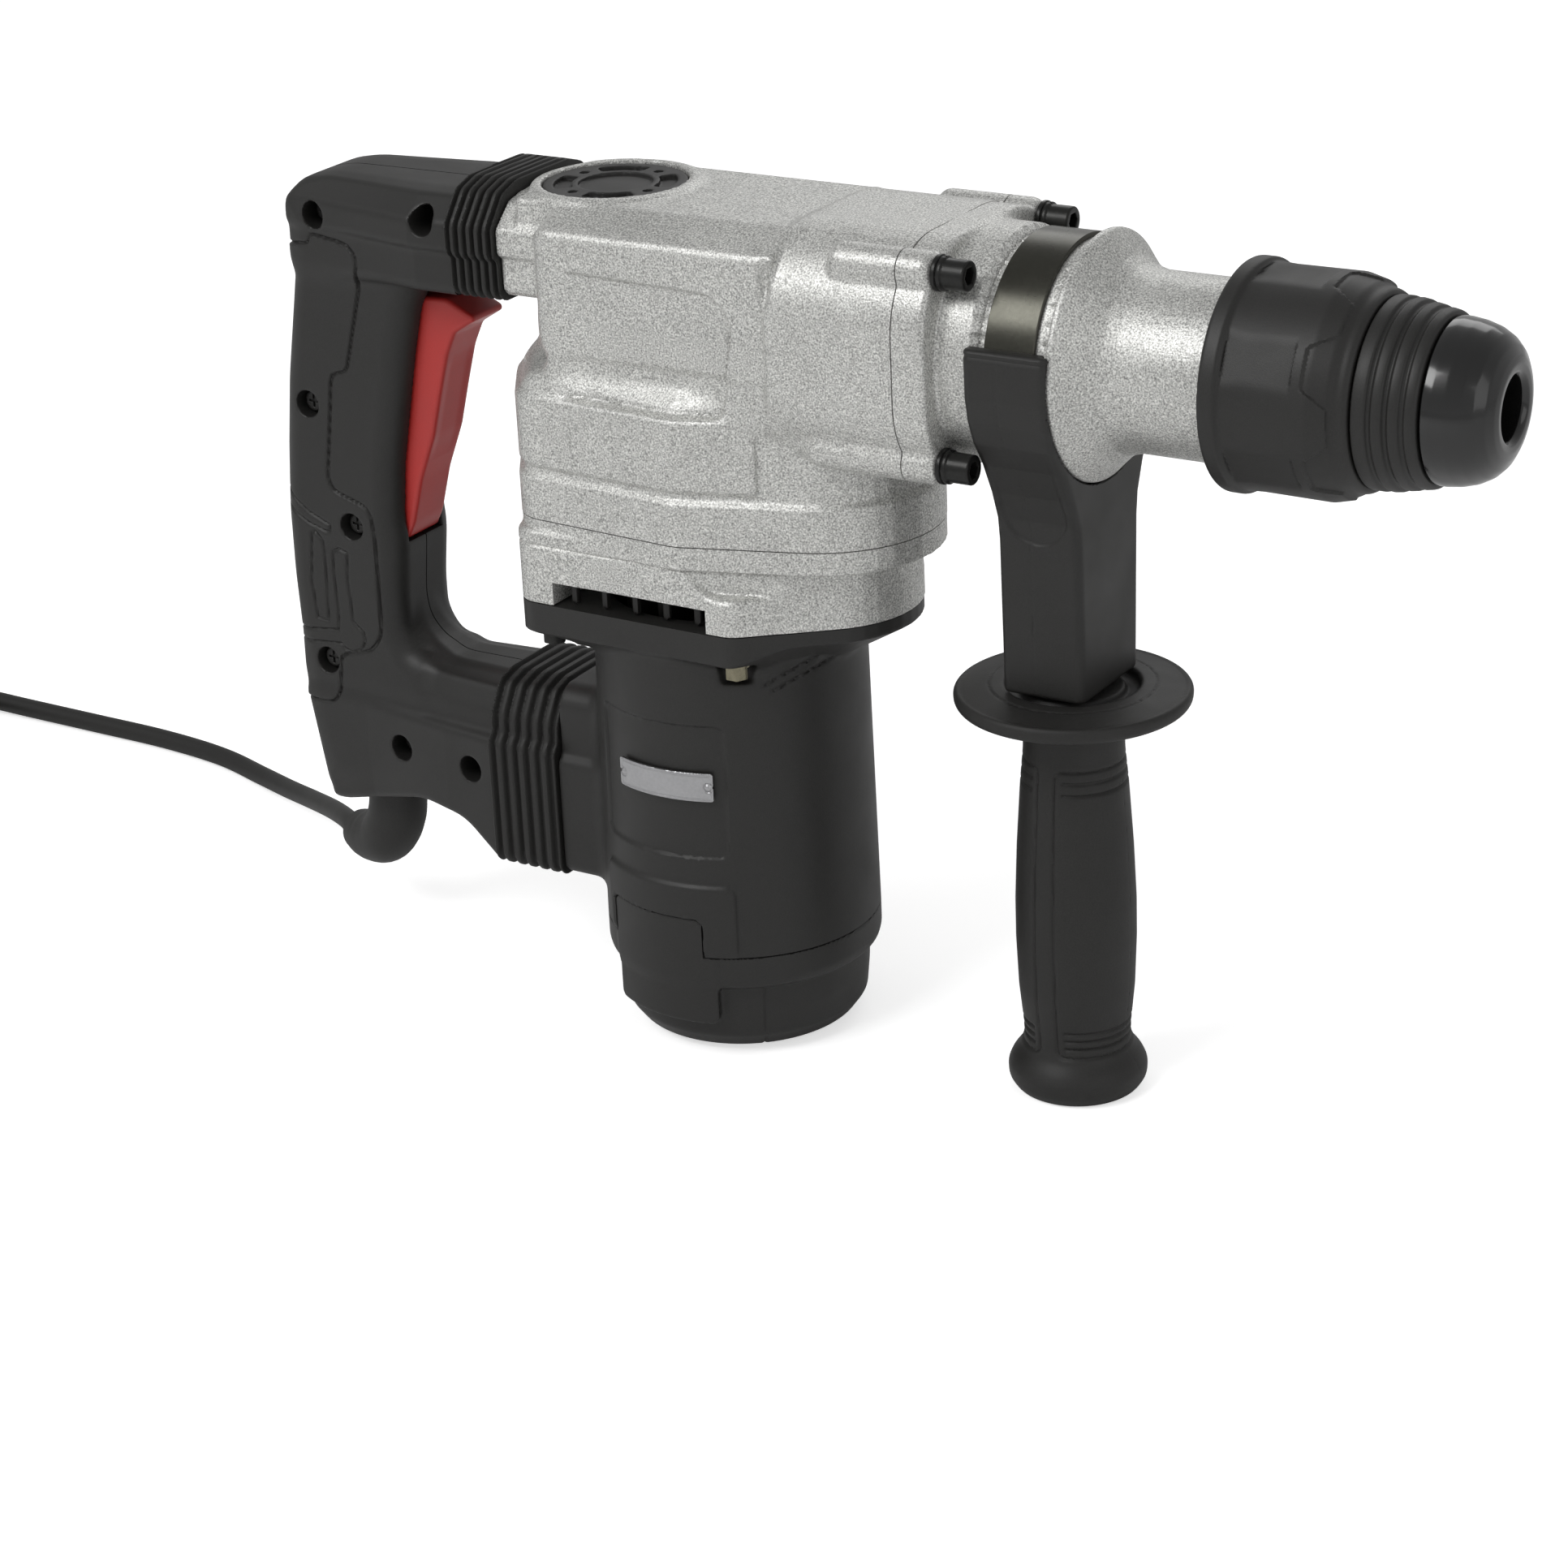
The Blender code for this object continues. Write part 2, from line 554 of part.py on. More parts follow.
def cord_route():
    """From the boot's mouth down to the surface and away behind, ending at the coil."""
    route = [
        (-0.1826, 0.0098, 0.02940), (-0.1880, 0.0124, 0.0286), (-0.1990, 0.0215, 0.0262), (-0.2180, 0.0365, 0.0205),
        (-0.2415, 0.0525, 0.0140), (-0.2655, 0.0675, 0.0080), (-0.2900, 0.0800, 0.0045),
        (-0.3200, 0.0900, 0.0040), (-0.3550, 0.0945, 0.0040), (-0.3950, 0.0955, 0.0040),
        (-0.4300, 0.0955, 0.0040), (COIL_CENTRE[0] + 0.0325, 0.0955, 0.0040),
    ]
    return [Vector(p) for p in route]


def make_cord(mats):
    path = smooth_path(boot_route(), 2)
    radii = [0.0100, 0.0100, 0.0100, 0.0102, 0.0100, 0.0096, 0.0088, 0.0078, 0.0066, 0.0058, 0.0054]
    sweep("cord_boot", path, radii, mats["black_rubber"])
    curve = bpy.data.curves.new("power_cord", "CURVE")
    curve.dimensions = "3D"
    curve.bevel_depth = CORD_D / 2
    curve.bevel_resolution = 2
    curve.use_fill_caps = True
    curve.resolution_u = 1
    curve.render_resolution_u = 0
    points = smooth_path(cord_route(), 2)
    spline = curve.splines.new("POLY")
    spline.points.add(len(points) - 1)
    for slot, point in zip(spline.points, points):
        slot.co = (*point, 1.0)
    curve.materials.append(mats["black_rubber"])
    cord = bpy.data.objects.new("power_cord", curve)
    bpy.context.scene.collection.objects.link(cord)
    inner = COIL_R - 1.55 * CORD_D
    outer = COIL_R + 1.55 * CORD_D
    ring = [(inner, GAP), (outer, GAP), (outer, 0.0165), (inner, 0.0165)]
    turned("cord_coil", ring, mats["black_rubber"], (*COIL_CENTRE, 0), steps=28)
    make_plug(mats)


def make_plug(mats):
    """Two-blade plug lying flat beside the coil, its blades pointing along +X."""
    start = COIL_CENTRE[0] + 0.0345
    y = COIL_CENTRE[1] - COIL_R - CORD_D
    sections = [(start, 0.0050, 0.0045), (start + 0.014, 0.0075, 0.0065), (start + 0.018, 0.0125, 0.0090)]
    sections += [(start + 0.040, 0.0130, 0.0092), (start + 0.043, 0.0115, 0.0080)]
    bm = bmesh.new()
    loops = []
    for px, half, tall in sections:
        outline = rounded_box(y - half, y + half, 0.0095 - tall, 0.0095 + tall, 0.6 * tall, 2)
        loops.append([(px, u, v) for u, v in outline])
    add_loops(bm, loops)
    plug = add_solid("cord_plug", bm, mats["black_rubber"])
    for k, offset in enumerate((-0.0064, 0.0064)):
        low = (start + 0.038, y + offset - 0.00075, 0.0065)
        high = (start + 0.060, y + offset + 0.00075, 0.0128)
        join(plug, block(f"plug_blade_{k + 1}", low, high, GUIDE))


# ---- side handle -----------------------------------------------------------
def make_side_handle(mats):
    pivot = spindle_origin(GRIP_X)
    band = [(COLLAR_R + GAP, -0.0105), (COLLAR_R + 0.0018, -0.0105), (COLLAR_R + 0.0018, 0.0072), (COLLAR_R + GAP, 0.0072)]
    turned("clamp_band", band, mats["black_steel"], pivot, SPINDLE_TURN, 28)
    bm = bmesh.new()
    sections = [
        (0.0105, 0.0434, 0.0142), (-0.0060, 0.0434, 0.0142), (-0.0140, 0.0422, 0.0142), (-0.0220, 0.0385, 0.0142),
        (-0.0310, 0.0315, 0.0142), (-0.0420, 0.0262, 0.0142), (-0.0520, 0.0225, 0.0142), (-0.0600, 0.0212, 0.0142),
        (-0.1130, 0.0203, 0.0142),
    ]
    loops = []
    for z, half_y, half_x in sections:
        loops.append([(x, y, z) for x, y in rounded_box(-half_x, half_x, -half_y, half_y, 0.003, 2)])
    add_loops(bm, loops)
    saddle = add_solid("clamp_saddle", bm, mats["black_plastic"], pivot)
    cut(saddle, cylinder_tool("saddle_seat", COLLAR_R + 0.0026, -0.030, 0.030, pivot, SPINDLE_TURN, 48))
    cut(saddle, cylinder_tool("saddle_flange_seat", 0.0418, 0.0108, 0.030, pivot, SPINDLE_TURN, 48))
    cut(saddle, cylinder_tool("saddle_bolt_hole", 0.0045, -0.120, -0.030, pivot, steps=12))
    bolt = [
        (0, -0.1480), (0.0040, -0.1480), (0.0040, -0.0500), (0.0075, -0.0498), (0.0075, -0.0440), (0, -0.0440),
    ]
    cut(saddle, cylinder_tool("saddle_bolt_head", 0.0080, -0.0508, -0.030, pivot, steps=12))
    turned("clamp_bolt", bolt, mats["black_steel"], pivot, steps=12)
    guard_top = 0.1503 - SPINDLE_Z
    base = -SPINDLE_Z
    grip = [
        (0.0045, base + 0.110), (0.0045, guard_top), (0.0240, guard_top), (0.0270, guard_top - 0.0025),
        (0.0385, guard_top - 0.0030), (0.0400, guard_top - 0.0050), (0.0395, guard_top - 0.0075),
        (0.0200, guard_top - 0.0085), (0.0172, guard_top - 0.0110), (0.0178, base + 0.125),
        (0.0188, base + 0.100), (0.0200, base + 0.070), (0.0200, base + 0.050), (0.0188, base + 0.027),
        (0.0182, base + 0.0190), (0.0205, base + 0.0140), (0.0240, base + 0.0095), (0.0242, base + 0.0045),
        (0.0215, base), (0, base), (0, base + 0.110),
    ]
    turned("side_grip", grip, mats["black_rubber"], pivot, steps=20)


# ---- tool socket -----------------------------------------------------------
def make_chuck(mats):
    sleeve = [
        (0.0305, 0.1976), (0.0371, 0.1976), (0.0373, 0.2038), (0.0354, 0.2046), (0.0356, 0.2200),
        (0.0360, 0.2320), (0.0345, 0.2395), (0.0310, 0.2450), (0.0256, 0.2450),
        (0.0256, 0.2080), (0.0305, 0.2080),
    ]
    turned("lock_sleeve", sleeve, mats["black_plastic"], spindle_origin(0), SPINDLE_TURN, 24)
    dust = [
        (0.0098, 0.2570), (0.0172, 0.2570), (0.0172, 0.2456), (0.0302, 0.2456), (0.0293, 0.2540),
        (0.0277, 0.2640), (0.0263, 0.2655), (0.0257, 0.2720), (0.0235, 0.2785), (0.0190, 0.2840),
        (0.0140, 0.2868), (0.0098, 0.2868),
    ]
    turned("dust_cap", dust, mats["gloss_black"], spindle_origin(0), SPINDLE_TURN, 22)
    holder = [
        (SOCKET_R, 0.1700), (0.0160, 0.1640), (0.0160, 0.1360), (0.0229, 0.1360), (0.0229, 0.2040),
        (0.0215, 0.2060), (0.0215, 0.2300), (0.0165, 0.2320), (0.0165, 0.2565), (SOCKET_R, 0.2565),
    ]
    turned("tool_holder", holder, mats["bright_steel"], spindle_origin(0), SPINDLE_TURN, 20)
    coil = [(0.0222, 0.2130), (0.0250, 0.2130), (0.0250, 0.2290), (0.0222, 0.2290)]
    turned("sleeve_spring", coil, mats["bright_steel"], spindle_origin(0), SPINDLE_TURN, 20)


# ---- drive train -----------------------------------------------------------
def make_hammer(mats):
    steel = mats["bright_steel"]
    tube = [(0.0188, -0.0120), (TUBE_R, -0.0120), (TUBE_R, 0.1355), (TUBE_BORE_R, 0.1355), (TUBE_BORE_R, -0.0010)]
    turned("hammer_tube", tube, steel, spindle_origin(0), SPINDLE_TURN, 24)
    ring = [(TUBE_R + GAP, 0.1025), (0.0259, 0.1025), (0.0259, 0.1145), (TUBE_R + GAP, 0.1145)]
    turned("spindle_bearing", ring, steel, spindle_origin(0), SPINDLE_TURN, 20)
    piston = turned("piston", [(0, -0.012), (0.0160, -0.012), (0.0160, 0.0230), (0, 0.0230)], steel,
                    spindle_origin(0), SPINDLE_TURN)
    low = (-0.020, -0.030, SPINDLE_Z - 0.0065)
    cut(piston, block("piston_slot", low, (0.0100, 0.030, SPINDLE_Z + 0.0065), GUIDE))
    pin = cylinder_tool("wrist_pin", 0.0040, -0.0070, 0.0070, spindle_origin(ROD_LENGTH + CRANK_X - CRANK_THROW), steps=12)
    join(piston, pin)
    turned("ram", [(0, 0.0520), (0.0158, 0.0520), (0.0158, 0.0880), (0, 0.0880)], steel,
           spindle_origin(0), SPINDLE_TURN)
    striker = [(0, 0.0890), (0.0090, 0.0890), (0.0150, 0.0960), (0.0150, 0.1130), (0.0085, 0.1160),
               (0.0085, 0.1640), (0, 0.1640)]
    turned("impact_bolt", striker, steel, spindle_origin(0), SPINDLE_TURN, 20)


def make_con_rod(mats):
    """Rod with an eye at each end; the big end rides just above the crank pin."""
    small_x = ROD_LENGTH + CRANK_X - CRANK_THROW
    big_x = CRANK_X - CRANK_THROW
    outline = belt_outline([(big_x, 0, 0.0090), (small_x, 0, 0.0062)], 20)
    rod = prism("con_rod", outline, "Z", SPINDLE_Z - 0.0055, SPINDLE_Z + 0.0055, mats["bright_steel"],
                spindle_origin(small_x))
    cut(rod, cylinder_tool("rod_small_eye", 0.0040 + GAP, -0.010, 0.010, spindle_origin(small_x), steps=12))
    cut(rod, cylinder_tool("rod_big_eye", 0.0050, -0.010, 0.010, spindle_origin(big_x), steps=12))


def make_crank(mats):
    shaft = [
        (0, 0.1820), (0.0050, 0.1820), (0.0050, 0.2180), (0.0100, 0.2180), (0.0100, 0.2440),
        (0.0180, 0.2440), (0.0180, 0.2520), (0, 0.2520),
    ]
    crank = turned("crankshaft", shaft, mats["bright_steel"], (CRANK_X, 0, 0), steps=24)
    pin = cylinder_tool("crank_pin", 0.0045, 0.2510, SPINDLE_Z - 0.0055 - GAP, (CRANK_X - CRANK_THROW, 0, 0), steps=12)
    join(crank, pin)
    outline = tooth_outline(CRANK_TEETH, GEAR_MODULE, 0.0)
    gear_with_bore("crank_gear", outline, 0.2010, 0.2110, 0.0050 + GAP, mats["bright_steel"], (CRANK_X, 0, 0))


def make_layshaft(mats):
    steel = mats["bright_steel"]
    outline = tooth_outline(LAYSHAFT_TEETH, GEAR_MODULE, math.pi)
    gear_with_bore("intermediate_gear", outline, 0.2010, 0.2090, 0.0050 + GAP, steel, (LAYSHAFT_X, 0, 0))
    pinion = bmesh.new()
    small_r = BEVEL_PINION_TEETH * BEVEL_MODULE / 2
    large_r = BEVEL_GEAR_TEETH * BEVEL_MODULE / 2
    add_loops(pinion, bevel_loops(BEVEL_PINION_TEETH, small_r, large_r, 0.0, 0.001))
    layshaft = add_solid("bevel_pinion", pinion, steel, (LAYSHAFT_X, 0, SPINDLE_Z))
    stem = [(0, 0.1820), (0.0050, 0.1820), (0.0050, 0.2230), (0.0062, 0.2240), (0.0062, 0.2330), (0, 0.2330)]
    join(layshaft, turned("layshaft", stem, GUIDE, (LAYSHAFT_X, 0, 0), steps=20))
    gear = bmesh.new()
    add_loops(gear, bevel_loops(BEVEL_GEAR_TEETH, large_r, small_r, math.pi / BEVEL_GEAR_TEETH, 0.004))
    turn = (0, -math.pi / 2, 0)
    wheel = add_solid("bevel_gear", gear, steel, (LAYSHAFT_X, 0, SPINDLE_Z), turn)
    hub = [(0, 0.0540), (0.0260, 0.0540), (0.0260, 0.0640), (0, 0.0640)]
    join(wheel, turned("bevel_hub", hub, GUIDE, spindle_origin(0), SPINDLE_TURN, 24))
    cut(wheel, cylinder_tool("bevel_bore", TUBE_R + GAP, 0.030, 0.080, spindle_origin(0), SPINDLE_TURN, 24))


def bevel_loops(teeth, radius, mate_radius, phase, back):
    """Rings of a bevel gear: flat front, inner and outer tooth ends, flat back.

    The pitch cone's apex is the local origin and the gear opens along -Z.
    """
    module = 2 * radius / teeth
    outline = tooth_outline(teeth, module, phase, width=0.36, tip=BEVEL_TIP, root=BEVEL_ROOT)
    root_r, root_z = cone_point(-BEVEL_ROOT * module, radius, mate_radius)
    angles = [math.atan2(v, u) for u, v in outline]
    heights = [math.hypot(u, v) - radius for u, v in outline]
    teeth_points = [(*cone_point(h, radius, mate_radius), a) for h, a in zip(heights, angles)]
    flat = [(0.9 * root_r, root_z, a) for a in angles]
    rings = [(flat, BEVEL_INNER, 0.0), (teeth_points, BEVEL_INNER, 0.0)]
    rings += [(teeth_points, 1.0, 0.0), (flat, 1.0, back)]
    return [
        [(scale * r * math.cos(a), scale * r * math.sin(a), scale * z - drop) for r, z, a in ring]
        for ring, scale, drop in rings
    ]


def cone_point(height, radius, mate_radius):
    """Radius and level of a tooth point that stands height off the pitch cone."""
    slant = math.hypot(radius, mate_radius)
    return radius + height * mate_radius / slant, -mate_radius + height * radius / slant


def make_motor(mats):
    steel = mats["bright_steel"]
    shaft = [(0, 0.0050), (0.0040, 0.0050), (0.0040, 0.0180), (0.0050, 0.0180), (0.0050, 0.1990), (0, 0.1990)]
    armature = turned("armature_shaft", shaft, steel, steps=16)
    pinion = tooth_outline(PINION_TEETH, GEAR_MODULE, 0.0 + math.pi / PINION_TEETH)
    join(armature, prism("motor_pinion", pinion, "Z", 0.1975, 0.2125, GUIDE))
    bore = 0.0050 + GAP
    core = [
        (bore, 0.0370), (0.0135, 0.0370), (0.0135, 0.0570), (0.0180, 0.0590), (0.0200, 0.0680),
        (0.0240, 0.0680), (0.0240, 0.1120), (0.0200, 0.1120), (0.0180, 0.1210), (bore, 0.1210),
    ]
    turned("armature_core", core, mats["copper"], steps=18)
    outline = fan_outline()
    gear_with_bore("cooling_fan", outline, 0.1580, 0.1680, bore, mats["fan_plastic"], (0, 0, 0))
    ring = [(0.0246, 0.0660), (0.0408, 0.0660), (0.0408, 0.1220), (0.0246, 0.1220)]
    turned("stator", ring, mats["laminations"], steps=28)
    lower = [(0.0043, 0.0060), (0.0115, 0.0060), (0.0115, 0.0140), (0.0043, 0.0140)]
    turned("motor_bearing_lower", lower, steel, steps=16)
    upper = [(bore, 0.1775), (0.0140, 0.1775), (0.0140, 0.1870), (bore, 0.1870)]
    turned("motor_bearing_upper", upper, steel, steps=16)
    for name, side in (("carbon_brush_1", -1), ("carbon_brush_2", 1)):
        ends = sorted((side * 0.0138, side * 0.0320))
        block(name, (-0.0035, ends[0], 0.0420), (0.0035, ends[1], 0.0520), mats["fan_plastic"])


def fan_outline(blades=12, hub_r=0.016, tip_r=0.0375):
    """Blades as long narrow teeth, each swept back a little from hub to tip."""
    step = 2 * math.pi / blades
    points = []
    for k in range(blades):
        for radius, offset in ((hub_r, -0.16), (tip_r, -0.13), (tip_r, -0.04), (hub_r, 0.10)):
            angle = (k + offset * 2) * step
            points.append((radius * math.cos(angle), radius * math.sin(angle)))
    return points


def make_selector(mats):
    """Mode knob on the left side: a dial with a finger bar across it."""
    dial = [(0, 0), (0.0150, 0), (0.0150, 0.0045), (0.0135, 0.0055), (0, 0.0055)]
    origin = (KNOB_X, KNOB_Y, KNOB_Z)
    knob = turned("selector_knob", dial, mats["black_plastic"], origin, SIDE_TURN, 24)
    low = (KNOB_X - 0.0120, 0.0540, KNOB_Z - 0.0035)
    high = (KNOB_X + 0.0120, 0.0608, KNOB_Z + 0.0035)
    join(knob, block("knob_bar", low, high, GUIDE))


def main():
    mats = make_materials()
    make_gear_housing(mats)
    make_front_housing(mats)
    make_gearbox_base(mats)
    make_crank_cover(mats)
    make_motor_housing(mats)
    make_end_cap(mats)
    make_name_plate(mats)
    make_bolts(mats)
    make_handle_shells(mats)
    make_bellows(mats)
    make_trigger(mats)
    make_cord(mats)
    make_side_handle(mats)
    make_chuck(mats)
    make_hammer(mats)
    make_con_rod(mats)
    make_crank(mats)
    make_layshaft(mats)
    make_motor(mats)
    make_selector(mats)


clear_scene()
GUIDE = make_material("guide", (0.8, 0.2, 0.8), 0.5, 0.0)
main()
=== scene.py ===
"""Looks of a rotary hammer with an upright motor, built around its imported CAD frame.

Castings and mouldings are signed distance fields, meshed here on a grid and then drawn onto
the exact surface.  Turned parts are lathed.  All lengths are in metres, in the CAD's frame:
+X along the spindle, +Z up, the motor on the Z axis.
"""
import math

import bmesh
import bpy
import numpy as np
from mathutils import Matrix, Vector


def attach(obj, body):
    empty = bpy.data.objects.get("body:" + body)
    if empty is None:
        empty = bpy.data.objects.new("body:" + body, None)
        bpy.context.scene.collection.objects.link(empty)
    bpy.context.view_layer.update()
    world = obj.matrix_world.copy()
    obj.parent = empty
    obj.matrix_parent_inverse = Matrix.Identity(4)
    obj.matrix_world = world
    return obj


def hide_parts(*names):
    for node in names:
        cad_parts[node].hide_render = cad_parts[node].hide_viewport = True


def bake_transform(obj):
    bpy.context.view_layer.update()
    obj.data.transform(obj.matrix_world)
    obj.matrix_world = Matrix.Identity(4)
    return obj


def grid(full):
    return full


def mm(points):
    """Points in metres from points in millimetres."""
    return [tuple(round(v / 1000, 7) for v in point) for point in points]


# ---- driving dimensions ----------------------------------------------------
SPINDLE_Z = 0.264
CRANK_X = -0.0375
LAYSHAFT_X = 0.0425
GRIP_X = 0.135             # axis of the side grip
FRONT_X = 0.0955           # seam between gear housing and front housing
SEAM_Z = 0.195             # seam between gear housing and gearbox base
BASE_Z = 0.165             # top of the motor housing
CAP_Z = 0.0412             # seam between motor housing and end cap
HALF_GAP = 0.00022         # each shell stops this far short of a seam
REAR_X = -0.067            # rear end of the gear housing
HANDLE_X = -0.088          # front end of the handle shells
MOTOR_REAR_X = -0.058      # rear face of the box behind the motor
MOTOR_R = 0.049            # radius on which lengths round the motor are laid out
KNOB_X, KNOB_Z = 0.03, 0.22        # middle of the selector knob
BOLT_Y = 0.0353            # front bolts, beside and above or below the spindle
BOLT_DZ = 0.032
BOSS_END_X = 0.1075        # front face of the bolt bosses
FLANGE_BOLTS = ((-0.048, 0.039), (0.0285, 0.0415))     # (x, y) on the left side
COLLAR_R = 0.0373          # collar that the side handle clamps on
CORD_R = 0.004
CORD_LENGTH = 2.0
COIL_X, COIL_Y = -0.496, 0.039     # middle of the coil on the floor

COARSE = grid(0.0009)      # grid of the large castings
FINE = grid(0.00065)       # grid of pieces with fine grooves

# round corners of the castings' outlines, seen from above: (x, y, radius)
GEAR_CASE = [
    (-0.044, -0.031, 0.016), (-0.044, 0.031, 0.016), (0.01, -0.035, 0.016), (0.01, 0.035, 0.016),
    (CRANK_X, 0.0, 0.0385), (LAYSHAFT_X, 0.0, 0.04),
]
FLANGE_CASE = [
    (-0.048, -0.039, 0.01), (-0.048, 0.039, 0.01), (0.0285, -0.04, 0.01), (0.0285, 0.04, 0.01),
    (0.039, 0.0, 0.0345),
]
GEAR_ROOM = [(CRANK_X, 0.0, 0.0343), (0.006, 0.0, 0.04), (LAYSHAFT_X, 0.0, 0.0364)]


# ---- camera and light ------------------------------------------------------
def make_camera():
    azimuth, elevation, roll = (math.radians(a) for a in (32.37, 23.27, -2.629))
    back = Vector((math.sin(azimuth) * math.cos(elevation), -math.cos(azimuth) * math.cos(elevation),
                   math.sin(elevation)))
    level = Vector((math.cos(azimuth), math.sin(azimuth), 0.0))
    above = back.cross(level)
    right = level * math.cos(roll) + above * math.sin(roll)
    up = above * math.cos(roll) - level * math.sin(roll)
    data = bpy.data.cameras.new("camera")
    data.sensor_width = 36.0
    data.lens = 87.58
    data.clip_end = 20.0
    camera = bpy.data.objects.new("camera", data)
    turn = Matrix((right, up, back)).transposed().to_4x4()
    camera.matrix_world = Matrix.Translation((0.6844, -1.0496, 0.6246)) @ turn
    bpy.context.scene.collection.objects.link(camera)
    bpy.context.scene.camera = camera


def make_area(name, place, target, size, power):
    data = bpy.data.lights.new(name, "AREA")
    data.shape = "RECTANGLE"
    data.size, data.size_y = size
    data.energy = power
    lamp = bpy.data.objects.new(name, data)
    lamp.location = place
    lamp.rotation_euler = (Vector(place) - Vector(target)).to_track_quat("Z", "Y").to_euler()
    bpy.context.scene.collection.objects.link(lamp)


def make_stage():
    """White floor, pale world and three soft lights."""
    world = bpy.data.worlds.new("studio")
    world.use_nodes = True
    tree = world.node_tree
    back = tree.nodes["Background"]
    direction = add_node(tree, "ShaderNodeTexCoord").outputs["Generated"]
    height = add_node(tree, "ShaderNodeSeparateXYZ", {"Vector": direction}).outputs["Z"]
    tree.links.new(spread(tree, height, 0.5, 0.34, 0.0, 0.9), back.inputs["Strength"])
    back.inputs["Color"].default_value = (1.0, 1.0, 1.0, 1.0)
    bpy.context.scene.world = world
    bpy.context.scene.view_settings.view_transform = "Standard"
    mesh = bpy.data.meshes.new("floor")
    reach = 6.0
    corners = [(x * reach, y * reach, 0) for x, y in ((-1, -1), (1, -1), (1, 1), (-1, 1))]
    mesh.from_pydata(corners, [], [(0, 1, 2, 3)])
    floor = bpy.data.objects.new("floor", mesh)
    floor.location = (0, 0, -0.0002)
    bpy.context.scene.collection.objects.link(floor)
    material, tree, shader = new_material("floor_white")
    shader.inputs["Base Color"].default_value = (0.93, 0.93, 0.93, 1.0)
    shader.inputs["Roughness"].default_value = 0.9
    shader.inputs["Emission Color"].default_value = (1.0, 1.0, 1.0, 1.0)
    seen = add_node(tree, "ShaderNodeLightPath").outputs["Is Camera Ray"]
    tree.links.new(spread(tree, seen, 0.04, 0.6, 0.0, 1.0), shader.inputs["Emission Strength"])
    mesh.materials.append(material)
    centre = (0.0, 0.0, 0.17)
    make_area("key", (-0.5, -1.3, 1.6), centre, (1.0, 0.8), 16.0)
    make_area("fill", (1.9, -0.7, 0.9), centre, (1.2, 1.2), 3.5)
    make_area("rim", (-0.3, 1.6, 1.3), centre, (1.4, 0.8), 5.0)


# ---- materials -------------------------------------------------------------
def new_material(name):
    material = bpy.data.materials.new(name)
    material.use_nodes = True
    tree = material.node_tree
    return material, tree, tree.nodes["Principled BSDF"]


def add_node(tree, kind, inputs=(), **settings):
    """A shader node with its settings; inputs are values or other nodes' outputs."""
    item = tree.nodes.new(kind)
    for key, value in settings.items():
        setattr(item, key, value)
    for key, value in dict(inputs).items():
        if isinstance(value, bpy.types.NodeSocket):
            tree.links.new(value, item.inputs[key])
        else:
            item.inputs[key].default_value = value
    return item


def noise(tree, place, scale, detail=2.0, roughness=0.5):
    inputs = {"Vector": place, "Scale": scale, "Detail": detail, "Roughness": roughness}
    return add_node(tree, "ShaderNodeTexNoise", inputs).outputs["Fac"]


def spread(tree, value, low, high, start=0.3, end=0.7):
    """Maps a texture's middle range onto low..high."""
    inputs = {"Value": value, "From Min": start, "From Max": end, "To Min": low, "To Max": high}
    return add_node(tree, "ShaderNodeMapRange", inputs).outputs["Result"]


def times(tree, a, b):
    return add_node(tree, "ShaderNodeMath", {0: a, 1: b}, operation="MULTIPLY").outputs[0]


def tint(tree, colour, factor):
    """A colour scaled by a changing factor."""
    inputs = {0: colour, "Scale": factor}
    return add_node(tree, "ShaderNodeVectorMath", inputs, operation="SCALE").outputs["Vector"]


def surface(name, colour, roughness, metallic=0.0, grain=1500.0, contrast=0.1, bump=0.1, blotch=0.05,
            roughness_change=0.05, coat=0.0, specular=0.5):
    """Painted, moulded or metal surface: fine grain, slow colour change and a fine bump."""
    material, tree, shader = new_material(name)
    place = add_node(tree, "ShaderNodeTexCoord").outputs["Object"]
    fine = noise(tree, place, grain, 2.0, 0.6)
    slow = noise(tree, place, 40.0, 3.0)
    factor = times(tree, spread(tree, fine, 1.0 - contrast, 1.0 + contrast),
                   spread(tree, slow, 1.0 - blotch, 1.0 + blotch))
    tree.links.new(tint(tree, colour, factor), shader.inputs["Base Color"])
    rough = spread(tree, slow, roughness - roughness_change, roughness + roughness_change)
    tree.links.new(rough, shader.inputs["Roughness"])
    relief = add_node(tree, "ShaderNodeBump", {"Strength": bump, "Distance": 0.0003, "Height": fine})
    tree.links.new(relief.outputs["Normal"], shader.inputs["Normal"])
    shader.inputs["Metallic"].default_value = metallic
    shader.inputs["Coat Weight"].default_value = coat
    shader.inputs["Coat Roughness"].default_value = 0.08
    shader.inputs["Specular IOR Level"].default_value = specular
    return material


